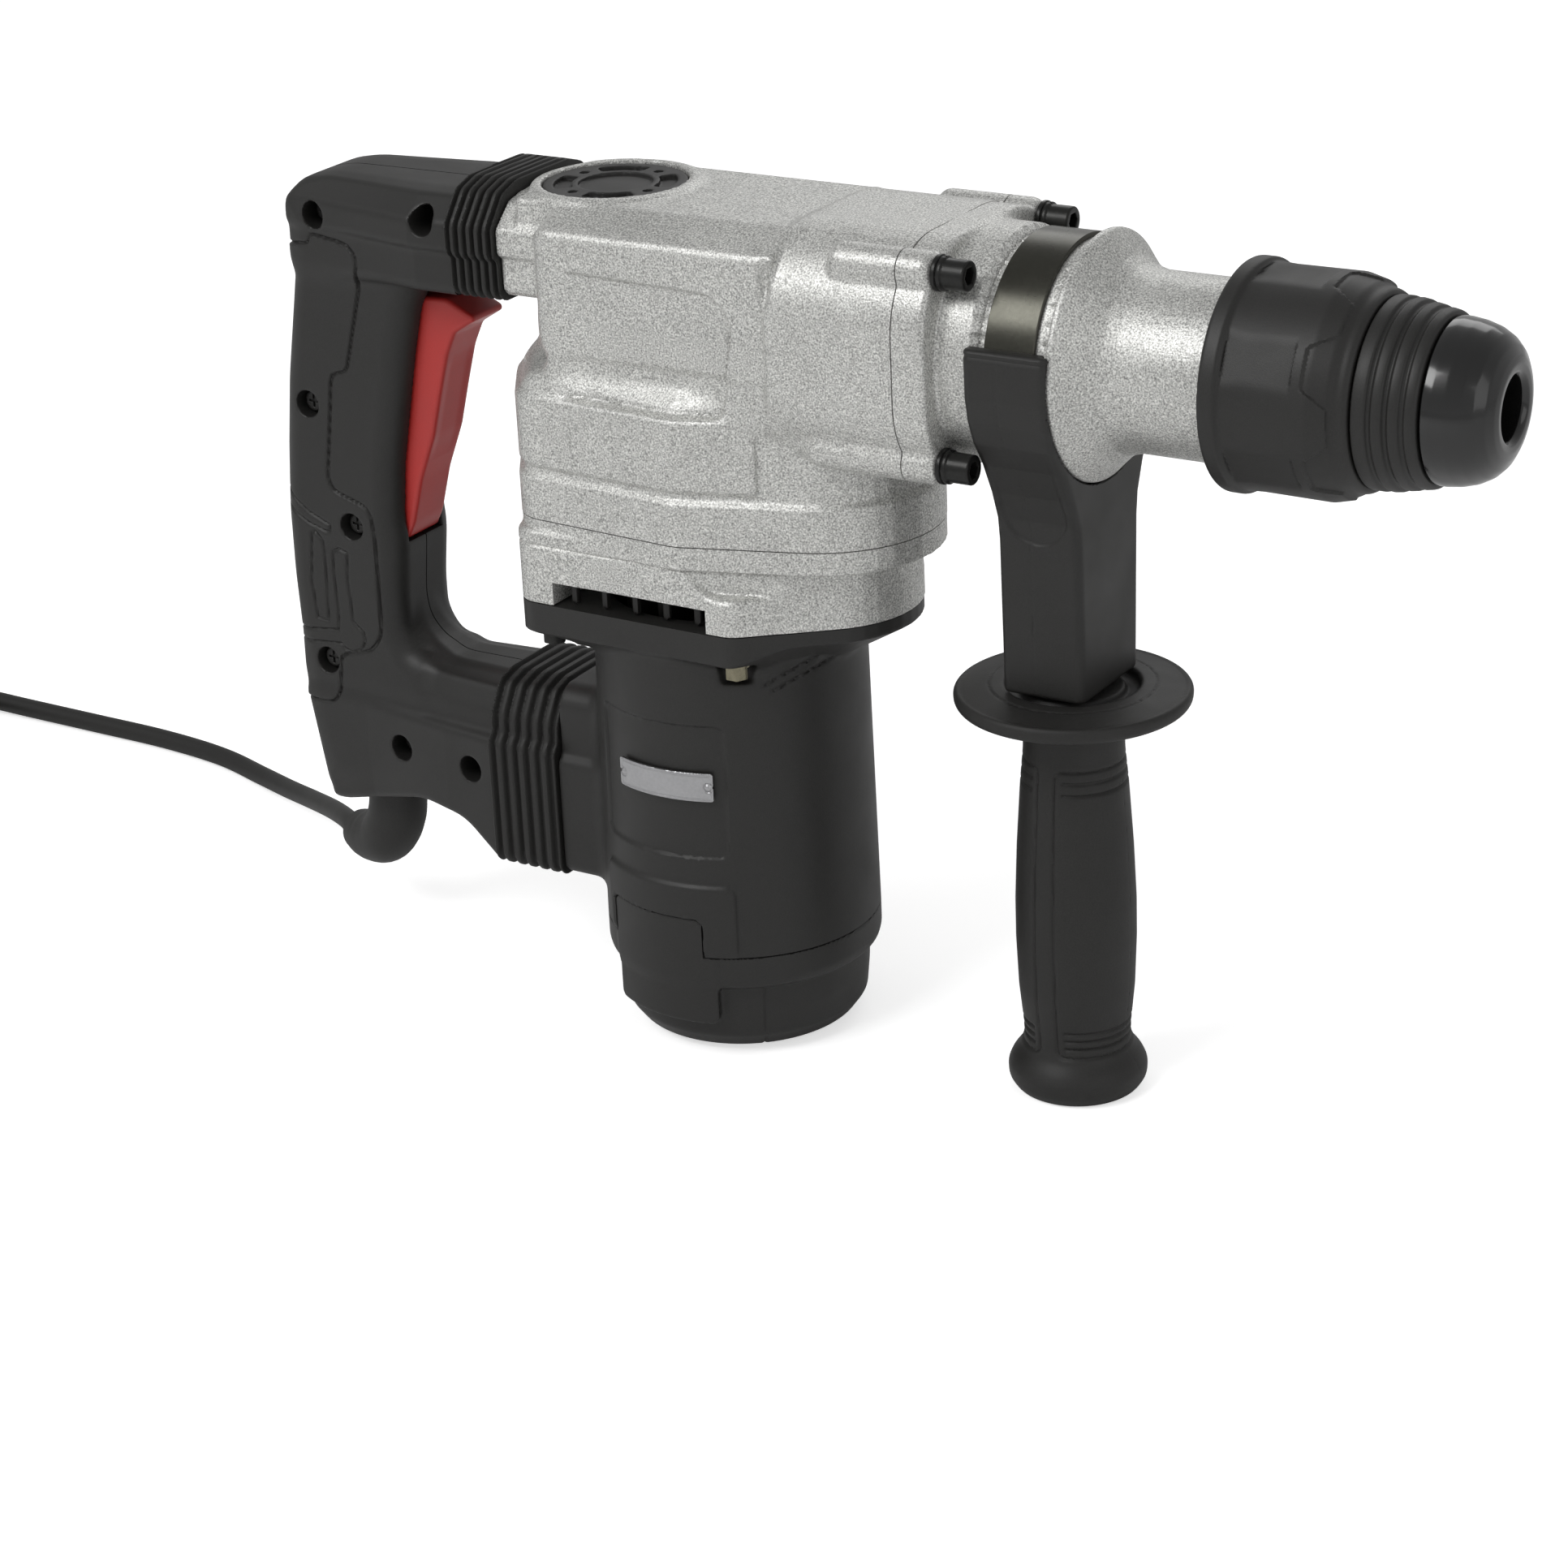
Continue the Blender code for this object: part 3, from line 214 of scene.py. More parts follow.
def make_materials():
    return {
        "silver": surface("silver_paint", (0.58, 0.58, 0.56), 0.45, 0.55, 1700.0, 0.62, 0.35, 0.05),
        "plastic": surface("black_plastic", (0.015, 0.0145, 0.0135), 0.5, 0.0, 2600.0, 0.2, 0.12),
        "rubber": surface("black_rubber", (0.0135, 0.013, 0.012), 0.58, 0.0, 2000.0, 0.2, 0.1),
        "dust": surface("gloss_rubber", (0.008, 0.008, 0.008), 0.2, contrast=0.05, bump=0.0, coat=0.4),
        "red": surface("red_plastic", (0.46, 0.03, 0.026), 0.38, 0.0, 2200.0, 0.05, 0.05),
        "black_steel": surface("black_oxide", (0.022, 0.022, 0.021), 0.32, 0.6, 900.0, 0.12, 0.05),
        "band": surface("band_steel", (0.068, 0.067, 0.056), 0.26, 0.9, 700.0, 0.08, 0.03),
        "zinc": surface("yellow_zinc", (0.26, 0.24, 0.17), 0.28, 0.95, 400.0, 0.15, 0.04, 0.25),
        "steel": surface("bright_steel", (0.56, 0.56, 0.55), 0.28, 1.0, 800.0, 0.06, 0.05),
        "plate": surface("plate_aluminium", (0.44, 0.44, 0.45), 0.34, 1.0, 900.0, 0.05, 0.02),
        "copper": surface("copper_windings", (0.6, 0.28, 0.14), 0.35, 0.9, 900.0, 0.2, 0.2),
        "laminations": surface("laminations", (0.22, 0.22, 0.23), 0.45, 0.8, 1500.0, 0.2, 0.2),
    }


LOOKS = {}


# ---- distance fields -------------------------------------------------------
# negative inside a shape: either() joins two shapes and both() keeps their overlap
either = np.minimum
both = np.maximum


def blend_min(a, b, k):
    """Union of two fields with a fillet about k wide."""
    h = np.clip(0.5 + 0.5 * (b - a) / k, 0.0, 1.0)
    return b + (a - b) * h - k * h * (1.0 - h)


def union(k, *fields):
    result = fields[0]
    for other in fields[1:]:
        result = blend_min(result, other, k)
    return result


def carve(base, tool, k=0.0005):
    """Base without tool, with a fillet about k wide where they meet."""
    return -blend_min(-base, tool, k)


def meet(a, b, r):
    """Overlap of two fields whose common edge is rounded to r."""
    a, b = a + r, b + r
    outside = np.hypot(np.maximum(a, 0.0), np.maximum(b, 0.0))
    return np.minimum(np.maximum(a, b), 0.0) + outside - r


def slab(t, low, high):
    return np.abs(t - (low + high) / 2) - (high - low) / 2


def rect(u, v, u0, u1, v0, v1, r):
    return meet(slab(u, u0, u1), slab(v, v0, v1), r)


def brick(p, low, high, r=0.0008):
    """Box with rounded edges."""
    return meet(rect(p[0], p[1], low[0], high[0], low[1], high[1], r), slab(p[2], low[2], high[2]), r)


def disc(u, v, cu, cv, r):
    return np.hypot(u - cu, v - cv) - r


def polygon(u, v, points):
    """Signed distance to a closed outline."""
    shape = np.broadcast(u, v).shape
    best = np.full(shape, 1e9, np.float64 if u.dtype == np.float64 else np.float32)
    inside = np.zeros(shape, bool)
    count = len(points)
    for k in range(count):
        (au, av), (bu, bv) = points[k], points[(k + 1) % count]
        eu, ev = bu - au, bv - av
        if eu * eu + ev * ev < 1e-14:
            continue
        wu, wv = u - au, v - av
        t = np.clip((wu * eu + wv * ev) / (eu * eu + ev * ev), 0.0, 1.0)
        best = np.minimum(best, (wu - eu * t) ** 2 + (wv - ev * t) ** 2)
        if ev:
            inside ^= ((v < av) != (v < bv)) & (wu < wv * (eu / ev))
    return np.where(inside, -1.0, 1.0) * np.sqrt(best)


def line(u, v, points):
    """Distance to an open line of points."""
    best = None
    for (au, av), (bu, bv) in zip(points, points[1:]):
        eu, ev = bu - au, bv - av
        wu, wv = u - au, v - av
        t = np.clip((wu * eu + wv * ev) / (eu * eu + ev * ev), 0.0, 1.0)
        here = (wu - eu * t) ** 2 + (wv - ev * t) ** 2
        best = here if best is None else np.minimum(best, here)
    return np.sqrt(best)


def groove(distance, width, depth):
    """Raises a field by depth within width of a line, which cuts a round groove there."""
    t = np.clip(1.0 - distance / width, 0.0, 1.0)
    return depth * t * t * (3.0 - 2.0 * t)


def follow(t, places, values):
    """Straight lines between values given at places along t."""
    return np.interp(t, places, values).astype(t.dtype)


def ramp(t, start, end):
    """0 before start, 1 after end, smooth between."""
    s = np.clip((t - start) / (end - start), 0.0, 1.0)
    return s * s * (3.0 - 2.0 * s)


def round_corner(a, b, c, radius, steps):
    """Points of the smooth curve that replaces the corner at b."""
    a, b, c = Vector(a), Vector(b), Vector(c)
    reach = min(radius, 0.45 * (a - b).length, 0.45 * (c - b).length)
    start = b + (a - b).normalized() * reach
    end = b + (c - b).normalized() * reach
    shares = [i / steps for i in range(steps + 1)]
    return [tuple(start * (1 - t) ** 2 + b * 2 * t * (1 - t) + end * t * t) for t in shares]


def fillet(points, radius, steps=4):
    """The outline with each corner turned into a smooth curve."""
    result = []
    for a, b, c in zip(points[-1:] + points[:-1], points, points[1:] + points[:1]):
        result += round_corner(a, b, c, radius, steps)
    return result


def angles_round(steps):
    return [2 * math.pi * k / steps for k in range(steps)]


def belt(circles, steps=40):
    """Outline of a belt drawn tight round circles (u, v, radius)."""
    points = []
    for u, v, r in circles:
        points += [(u + r * math.cos(a), v + r * math.sin(a)) for a in angles_round(steps)]
    points.sort()

    def half(sequence):
        chain = []
        for p in sequence:
            while len(chain) > 1 and cross(chain[-2], chain[-1], p) <= 1e-12:
                chain.pop()
            chain.append(p)
        return chain[:-1]

    return half(points) + half(points[::-1])


def cross(a, b, c):
    return (b[0] - a[0]) * (c[1] - a[1]) - (b[1] - a[1]) * (c[0] - a[0])


# ---- meshing ---------------------------------------------------------------
def grid_mesh(field, low, high, step):
    """Surface-net points and quads of a field's zero level."""
    axes = [np.arange(a - 2 * step, b + 3 * step, step, dtype=np.float32) for a, b in zip(low, high)]
    p = (axes[0][:, None, None], axes[1][None, :, None], axes[2][None, None, :])
    shape = tuple(len(a) for a in axes)
    f = np.ascontiguousarray(np.broadcast_to(field(p), shape), dtype=np.float32)
    inside = f < 0
    cells = tuple(n - 1 for n in shape)
    count = np.zeros(cells, np.int8)
    corners = [(i, j, k) for i in (0, 1) for j in (0, 1) for k in (0, 1)]
    for i, j, k in corners:
        count += inside[i:i + cells[0], j:j + cells[1], k:k + cells[2]]
    active = np.argwhere((count > 0) & (count < 8))
    index = np.full(cells, -1, np.int64)
    index[tuple(active.T)] = np.arange(len(active))
    total = np.zeros((len(active), 3))
    hits = np.zeros(len(active))
    for axis in range(3):
        unit = np.eye(3, dtype=np.int64)[axis]
        for corner in corners:
            if corner[axis]:
                continue
            a = active + corner
            fa = f[tuple(a.T)]
            fb = f[tuple((a + unit).T)]
            crossing = (fa < 0) != (fb < 0)
            t = np.where(crossing, fa / np.where(crossing, fa - fb, 1.0), 0.0)
            total += np.where(crossing[:, None], corner + unit * t[:, None], 0.0)
            hits += crossing
    origin = np.array([a[0] for a in axes], float)
    points = origin + (active + total / hits[:, None]) * step
    quads = []
    for axis in range(3):
        unit = np.eye(3, dtype=np.int64)[axis]
        span = [slice(0, n) for n in shape]
        ahead = [slice(0, n) for n in shape]
        span[axis] = slice(0, shape[axis] - 1)
        ahead[axis] = slice(1, shape[axis])
        starts, ends = inside[tuple(span)], inside[tuple(ahead)]
        edges = np.argwhere(starts != ends)
        keep = np.all((edges > 0) & (edges < np.array(shape) - 1), axis=1)
        edges = edges[keep]
        b = np.eye(3, dtype=np.int64)[(axis + 1) % 3]
        c = np.eye(3, dtype=np.int64)[(axis + 2) % 3]
        ring = [index[tuple((edges - shift).T)] for shift in (b + c, c, 0 * b, b)]
        faces = np.stack(ring, axis=1)
        outward = starts[tuple(edges.T)]
        faces[~outward] = faces[~outward][:, ::-1]
        quads.append(faces)
    return points, np.concatenate(quads)


def settle(field, points, step):
    """Moves points onto the field's zero level."""
    reach = step * 0.05
    for _ in range(2):
        x, y, z = points.T
        value = field((x, y, z))
        slope = np.stack([
            field((x + reach, y, z)) - value,
            field((x, y + reach, z)) - value,
            field((x, y, z + reach)) - value,
        ], axis=1) / reach
        size = np.maximum((slope ** 2).sum(axis=1), 0.25)
        move = np.clip(value / size, -0.6 * step, 0.6 * step)
        points = points - slope * move[:, None]
    return points


def shaped(name, field, low, high, step, look, body, nodes=(), cuts=(), sharp=38):
    """A piece from a field, cut by planes (point, outward normal) where it meets its neighbours."""
    points, quads = grid_mesh(field, low, high, step)
    points = settle(field, points, step)
    mesh = bpy.data.meshes.new(name)
    mesh.vertices.add(len(points))
    mesh.vertices.foreach_set("co", points.astype(np.float32).ravel())
    mesh.loops.add(4 * len(quads))
    mesh.loops.foreach_set("vertex_index", quads.astype(np.int32).ravel())
    mesh.polygons.add(len(quads))
    mesh.polygons.foreach_set("loop_start", np.arange(0, 4 * len(quads), 4, dtype=np.int32))
    mesh.update(calc_edges=True)
    mesh.validate()
    if cuts:
        cut_mesh(mesh, cuts)
    return finish_piece(name, mesh, look, body, nodes, sharp)


def cut_mesh(mesh, cuts):
    """Cuts a mesh off at planes and closes the openings."""
    bm = bmesh.new()
    bm.from_mesh(mesh)
    for point, normal in cuts:
        everything = bm.verts[:] + bm.edges[:] + bm.faces[:]
        result = bmesh.ops.bisect_plane(bm, geom=everything, dist=1e-7, plane_co=point, plane_no=normal,
                                        clear_outer=True)
        rim = [e for e in result["geom_cut"] if isinstance(e, bmesh.types.BMEdge) and e.is_boundary]
        bmesh.ops.triangle_fill(bm, use_beauty=True, use_dissolve=False, edges=rim, normal=Vector(normal))
    bmesh.ops.recalc_face_normals(bm, faces=bm.faces)
    bm.to_mesh(mesh)
    bm.free()


def finish_piece(name, mesh, look, body, nodes=(), sharp=38):
    """Turns a mesh into a piece: its shading and look, the body it rides and the nodes it replaces."""
    mesh.shade_smooth()
    mesh.set_sharp_from_angle(angle=math.radians(sharp))
    mesh.materials.append(LOOKS[look])
    piece = bpy.data.objects.new(name, mesh)
    bpy.context.scene.collection.objects.link(piece)
    if body:
        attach(piece, body)
    if nodes:
        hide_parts(*nodes)
    return piece


def mesh_from(bm, name):
    """Closes a bmesh: faces outward, then into a mesh."""
    bmesh.ops.recalc_face_normals(bm, faces=bm.faces)
    mesh = bpy.data.meshes.new(name)
    bm.to_mesh(mesh)
    bm.free()
    return mesh


def lathe(name, profile, frame_matrix, look, body, nodes=(), steps=72, sharp=32):
    """Turns (radius, height) points about local Z; the first and last may be on the axis."""
    bm = bmesh.new()
    rings = []
    for radius, height in profile:
        if radius == 0:
            rings.append([bm.verts.new((0, 0, height))])
            continue
        spots = [(radius * math.cos(a), radius * math.sin(a), height) for a in angles_round(steps)]
        rings.append([bm.verts.new(spot) for spot in spots])
    pairs = list(zip(rings, rings[1:]))
    if len(rings[0]) > 1:
        pairs.append((rings[-1], rings[0]))
    for lower, upper in pairs:
        for k in range(steps):
            corners = [lower[k % len(lower)], lower[(k + 1) % len(lower)]]
            corners += [upper[(k + 1) % len(upper)], upper[k % len(upper)]]
            distinct = [v for i, v in enumerate(corners) if v not in corners[:i]]
            if len(distinct) > 2:
                bm.faces.new(distinct)
    bmesh.ops.transform(bm, matrix=frame_matrix, verts=bm.verts)
    return finish_piece(name, mesh_from(bm, name), look, body, nodes, sharp=sharp)


def soft_profile(points, radius, steps=3):
    """Profile with its inner corners rounded; the ends stay."""
    result = [points[0]]
    for a, b, c in zip(points, points[1:], points[2:]):
        result += round_corner(a, b, c, radius, steps)
    return result + [points[-1]]


def along_x(y=0.0, z=SPINDLE_Z):
    """Frame whose local Z runs along world X through (y, z)."""
    return Matrix.Translation((0, y, z)) @ Matrix.Rotation(math.pi / 2, 4, "Y")


def spindle_r(p):
    return np.hypot(p[1], p[2] - SPINDLE_Z)


# ---- castings --------------------------------------------------------------
def bolt_bosses(p, start, end):
    """Bosses for the four front bolts, two above and two below the spindle."""
    a = np.abs(p[1])
    upper = meet(disc(a, p[2], BOLT_Y, SPINDLE_Z + BOLT_DZ, 0.0066), slab(p[0], start, end), 0.0045)
    sunk = 0.006 * (1.0 - ramp(p[0], start - 0.021, start - 0.005))
    lower = disc(a, p[2], BOLT_Y, SPINDLE_Z - BOLT_DZ, 0.0065) + sunk
    lower = meet(lower, slab(p[0], start - 0.021, end), 0.003)
    return either(upper, lower)


REAR_SECTION = fillet(mm([
    (-10, 266.5), (26.2, 266.5), (28.5, 269), (28.5, 280.2), (31, 281.6), (31, 290.5), (22.5, 298.5),
    (15, 300.3), (-10, 300.5),
]), 0.0012)
UPPER_SECTION = fillet(mm([
    (-10, 250), (40, 250), (43.7, 254), (43.7, 294), (42.5, 296.2), (30, 301.8), (-10, 302.2),
]), 0.0018)
PANEL = fillet(mm([
    (-90, 284.2), (25, 281.2), (31, 277), (33.8, 269), (30, 250), (29, 240), (-90, 240),
]), 0.003)
GEAR_BELT = belt(GEAR_CASE)
FLANGE_BELT = belt(FLANGE_CASE)
ROOM_BELT = belt(GEAR_ROOM)


def gear_housing_field(p):
    """Case round the gears, with a rear block for the bellows and a front block for the bolts."""
    x, y, z = p
    a = np.abs(y)
    rear = meet(polygon(a, z, REAR_SECTION), slab(x, REAR_X, -0.02), 0.0006)
    upper = meet(polygon(a, z, UPPER_SECTION), rect(x, z, -0.0462, 0.12, 0.248, 0.31, 0.013), 0.0085)
    upper = meet(upper, x - 0.05, 0.0015)
    deck = brick(p, (-0.06, -0.0285, 0.275), (0.1, 0.0285, 0.302), 0.002)
    front = meet(rect(y, z, -0.046, 0.046, 0.2245, 0.304, 0.029), slab(x, 0.047, 0.13), 0.003)
    core = brick(p, (-0.0435, -0.0425, 0.236), (0.052, 0.0425, 0.27), 0.006)
    crank_wall = meet(disc(x, y, CRANK_X, 0.0, 0.0292), slab(z, 0.236, 0.296), 0.003)
    upper = union(0.003, upper, crank_wall)
    body = union(0.003, upper, deck)
    body = union(0.0022, body, rear)
    body = union(0.002, body, front)
    boss = meet(disc(x, y, CRANK_X, 0.0, 0.029), slab(z, 0.27, 0.3033), 0.0012)
    body = union(0.0035, body, boss)
    outline = polygon(x, y, GEAR_BELT)
    case = meet(outline + 0.002, slab(z, 0.18, 0.247), 0.0095)
    pad = meet(outline + 0.0002, slab(z, 0.213, 0.24), 0.003)
    pad = meet(pad, x - 0.04, 0.0008)
    band = meet(outline, slab(z, 0.18, 0.21), 0.0012)
    body = union(0.006, union(0.004, body, core), union(0.001, case, pad))
    body = union(0.0035, body, band)
    body = union(0.0018, body, bolt_bosses(p, 0.069, 0.12))
    knob_boss = meet(disc(x, z, KNOB_X, KNOB_Z, 0.0165), slab(y, 0.03, 0.0505), 0.001)
    body = union(0.002, body, knob_boss)
    relief = np.sqrt(((x - 0.0475) / 0.45) ** 2 + (a - 0.0475) ** 2 + ((z - 0.289) / 1.6) ** 2) - 0.0062
    body = carve(body, relief, 0.0015)
    panel = polygon(x, z, PANEL)
    sunk = 0.0018 * ramp(-panel, -0.0002, 0.0006) + groove(np.abs(panel), 0.0012, 0.0011)
    body = body + sunk * ramp(x, -0.036, -0.024) * ramp(a, 0.038, 0.041)
    room = both(polygon(x, y, ROOM_BELT), z - 0.2425)
    room = either(room, both(disc(x, y, CRANK_X, 0, 0.0254), 0.23 - z))
    room = either(room, both(spindle_r(p) - 0.0225, slab(x, -0.036, 0.05)))
    room = either(room, both(spindle_r(p) - 0.0355, 0.034 - x))
    return both(body, -room)


NOSE = fillet([
    (0.08, -0.01), (0.08, 0.0395), (0.1195, 0.0395), (0.1222, COLLAR_R), (0.1467, COLLAR_R),
    (0.1474, 0.041), (0.1494, 0.041), (0.153, 0.0372), (0.157, 0.0332), (0.161, 0.0306),
    (0.166, 0.0294), (0.197, 0.0294), (0.197, -0.01),
], 0.0007)


def front_housing_field(p):
    """Head with the bolt bosses, and the nose that carries the side handle."""
    x, y, z = p
    r = spindle_r(p)
    body = meet(rect(y, z, -0.046, 0.046, 0.2245, 0.304, 0.029), slab(x, 0.08, 0.1072), 0.0022)
    body = union(0.0015, body, bolt_bosses(p, 0.07, BOSS_END_X))
    nose = polygon(x, r, NOSE)
    teeth = np.abs(np.sin(np.arctan2(y, z - SPINDLE_Z) * 18.0)) * COLLAR_R / 18.0
    beside = either(slab(x, 0.1192, 0.1255), slab(x, 0.144, 0.1468))
    nose = nose + groove(teeth, 0.0009, 0.0008) * ramp(-beside, 0.0, 0.0004)
    nose = nose + groove(np.abs(x - 0.1222), 0.0006, 0.0005)
    body = union(0.002, body, nose)
    bore = either(both(r - 0.0355, x - 0.102), both(r - 0.0262, x - 0.115))
    bore = either(bore, r - 0.0235)
    return both(body, -bore)


def gearbox_base_field(p):
    """Base between the gear case and the motor flange, with vents on both sides."""
    x, y, z = p
    gear = polygon(x, y, GEAR_BELT)
    flange = polygon(x, y, FLANGE_BELT)
    upper = meet(gear, slab(z, 0.1862, 0.21), 0.0008)
    lower = both(flange, 0.15 - z)
    lower = meet(lower, z - 0.192 + 0.014 * ramp(x, 0.004, 0.026), 0.003)
    skirt = meet(gear + 0.0022, slab(z, 0.16, 0.192), 0.001)
    skirt = both(skirt, flange)
    body = union(0.001, upper, lower)
    body = union(0.0012, body, skirt) + groove(np.abs(z - 0.1862), 0.0008, 0.0007)
    vent = both(slab(x, -0.0405, 0.0222), z - 0.1733)
    vent = both(vent, 0.03 - np.abs(y))
    body = carve(body, vent, 0.0006)
    cellar = both(disc(x, y, 0, 0, 0.0425), z - 0.1765)
    cellar = either(cellar, both(disc(x, y, 0, 0, 0.0143), z - 0.21))
    for shaft_x in (CRANK_X, LAYSHAFT_X):
        cellar = either(cellar, both(disc(x, y, shaft_x, 0, 0.0053), 0.1815 - z))
    return both(body, -cellar)


def grille_field(p):
    """Dark bars that stand a little inside the vents."""
    x, y, z = p
    bars = slab(np.mod(x + 0.0405, 0.0125), 0.005, 0.0075)
    bars = both(bars, slab(np.abs(y), 0.0425, 0.045))
    return both(bars, both(slab(z, 0.1653, 0.1736), slab(x, -0.0404, 0.0221)))


def make_castings():
    seam_up = ((0, 0, SEAM_Z + HALF_GAP), (0, 0, -1))
    seam_front = ((FRONT_X - HALF_GAP, 0, 0), (1, 0, 0))
    seam_back = ((FRONT_X + HALF_GAP, 0, 0), (-1, 0, 0))
    seam_down = ((0, 0, SEAM_Z - HALF_GAP), (0, 0, 1))
    seat = ((0, 0, BASE_Z + HALF_GAP), (0, 0, -1))
    shaped("gear_housing_shell", gear_housing_field, (-0.077, -0.051, SEAM_Z),
           (FRONT_X + 0.002, 0.0515, 0.304), COARSE, "silver", "root", ["gear_housing"],
           (seam_up, seam_front))
    shaped("front_housing_shell", front_housing_field, (FRONT_X - 0.002, -0.046, 0.223),
           (0.197, 0.046, 0.305), FINE, "silver", "root", ["front_housing"], (seam_back,))
    shaped("gearbox_base_shell", gearbox_base_field, (-0.077, -0.051, BASE_Z), (0.083, 0.051, SEAM_Z),
           COARSE, "silver", "root", ["gearbox_base"], (seam_down, seat))
    shaped("vent_grille", grille_field, (-0.0405, -0.045, 0.1653), (0.0222, 0.045, 0.1736),
           COARSE, "plastic", "root")
    shaped("crank_cover_disc", crank_cover_field, (CRANK_X - 0.025, -0.025, 0.298),
           (CRANK_X + 0.025, 0.025, 0.3035), 0.0005, "plastic", "root", ["crank_cover"])


def crank_cover_field(p):
    """Round cover with a dished middle, four arc pockets and four small holes."""
    x, y, z = p
    r = disc(x, y, CRANK_X, 0, 0)
    turn = np.arctan2(y, x - CRANK_X)
    body = meet(r - 0.0249, slab(z, 0.298, 0.3028), 0.0006)
    dish = both(r - 0.0128, 0.3016 - z)
    body = carve(body, dish, 0.0006)
    quarter = np.mod(turn + 0.35, math.pi / 2) - math.pi / 4
    pocket = meet(slab(r, 0.0152, 0.0212), np.abs(quarter) * 0.018 - 0.0082, 0.0015)
    body = carve(body, both(pocket, 0.3012 - z), 0.0005)
    eighth = np.mod(turn + 0.35 + math.pi / 4, math.pi / 2) - math.pi / 4
    hole = np.hypot(r * np.cos(eighth) - 0.0182, r * np.sin(eighth)) - 0.0017
    return carve(body, both(hole, 0.3008 - z), 0.0003)


# ---- motor -----------------------------------------------------------------
def motor_angle(p):
    """Degrees round the motor from +X; the right side, with the name plate, is at -90."""
    return np.degrees(np.arctan2(p[1], p[0]))


def motor_arc(p):
    return motor_angle(p) * (math.pi / 180 * MOTOR_R)


def patch(p, angle0, angle1, z0, z1, r):
    """Rounded rectangle wrapped round the motor, as a distance on its surface."""
    u0, u1 = (angle * math.pi / 180 * MOTOR_R for angle in (angle0, angle1))
    return rect(motor_arc(p), p[2], u0, u1, z0, z1, r)


def tab_patch(p):
    return patch(p, -123.5, -75.0, 0.02, 0.0555, 0.003)


SLITS = (((0.036, 0.14), (0.048, 0.1475)), ((0.034, 0.1425), (0.046, 0.15)))


def motor_housing_field(p):
    """Tapering barrel with a flange on top, a rear box, a raised panel and a sunk one for the plate."""
    x, y, z = p
    r = np.hypot(x, y)
    barrel = both(r - (0.0494 - (z - CAP_Z) * 0.0125), 0.03 - z)
    barrel = both(barrel, z - 0.162)
    raised = patch(p, -129.0, -60.0, 0.02, 0.069, 0.004)
    barrel = barrel - 0.0013 * ramp(-raised, -0.0004, 0.0014) * ramp(z, 0.04, 0.044)
    panel = patch(p, -128.0, -62.0, 0.079, 0.1285, 0.004)
    barrel = barrel + 0.001 * ramp(-panel, -0.0003, 0.0006)
    rim = polygon(x, y, FLANGE_BELT)
    under = 0.154 + 0.006 * ramp(x, 0.0285, 0.05)
    flange = both(rim, (rim + 1.7 * (under - z)) * 0.507)
    flange = both(flange, slab(z, 0.1453, 0.18))
    behind = slab(x, MOTOR_REAR_X, 0.0)
    rear = meet(rect(y, z, -0.0262, 0.0262, 0.056, 0.123, 0.009), behind, 0.0008)
    rear_low = meet(rect(y, z, -0.029, 0.029, 0.0515, 0.0985, 0.005), behind, 0.0008)
    body = union(0.004, barrel, union(0.0015, rear, rear_low))
    body = union(0.003, body, flange)
    niche = either(*(disc(x, np.abs(y), u, v, 0.0066) for u, v in FLANGE_BOLTS))
    niche = meet(niche, slab(z, 0.144, 0.1537), 0.002)
    body = carve(body, niche, 0.0015)
    slit = either(*(line(x, z, ends) for ends in SLITS))
    body = body + groove(slit, 0.0009, 0.0007) * ramp(-y, 0.004, 0.012)
    tongue = both(tab_patch(p) - 0.0003, 0.044 - r)
    body = both(body, -tongue)
    bore = both(r - 0.0418, z - 0.2)
    return both(body, -bore)


CAP_PROFILE = fillet(mm([
    (-10, 0), (34, 0), (39.8, 2.8), (43.6, 8), (44.6, 18), (45, 27.5), (48.6, 29.2), (49.4, 32), (49.4, 60),
    (45.2, 60), (42, 20), (40, 8), (17, 5.5), (17, 14.5), (11.8, 14.5), (11.8, 4.5), (-10, 4.5),
]), 0.001)


def end_cap_field(p):
    """Cap with a tongue that reaches up into the motor housing beside the brush."""
    x, y, z = p
    r = np.hypot(x, y)
    body = polygon(r, z, CAP_PROFILE)
    tongue = tab_patch(p)
    apron = patch(p, -124.5, -70.0, 0.015, 0.064, 0.003)
    front = meet(apron, slab(r, 0.044, 0.0493), 0.0008)
    body = union(0.002, body, front)
    top = either(z - (CAP_Z - HALF_GAP), tongue)
    body = both(body, top)
    ribs = groove(np.abs(motor_angle(p) + 50.0) * 0.00086, 0.0012, 0.0005)
    return body + ribs * ramp(0.029 - z, 0.0, 0.002)


def make_motor():
    top = ((0, 0, BASE_Z - HALF_GAP), (0, 0, 1))
    foot = ((0, 0, CAP_Z + HALF_GAP), (0, 0, -1))
    shaped("motor_housing_shell", motor_housing_field, (-0.06, -0.051, CAP_Z), (0.075, 0.051, BASE_Z),
           COARSE, "plastic", "root", ["motor_housing"], (top, foot))
    shaped("motor_end_cap_shell", end_cap_field, (-0.05, -0.05, 0.0), (0.05, 0.05, 0.059),
           grid(0.0007), "plastic", "root", ["motor_end_cap"])


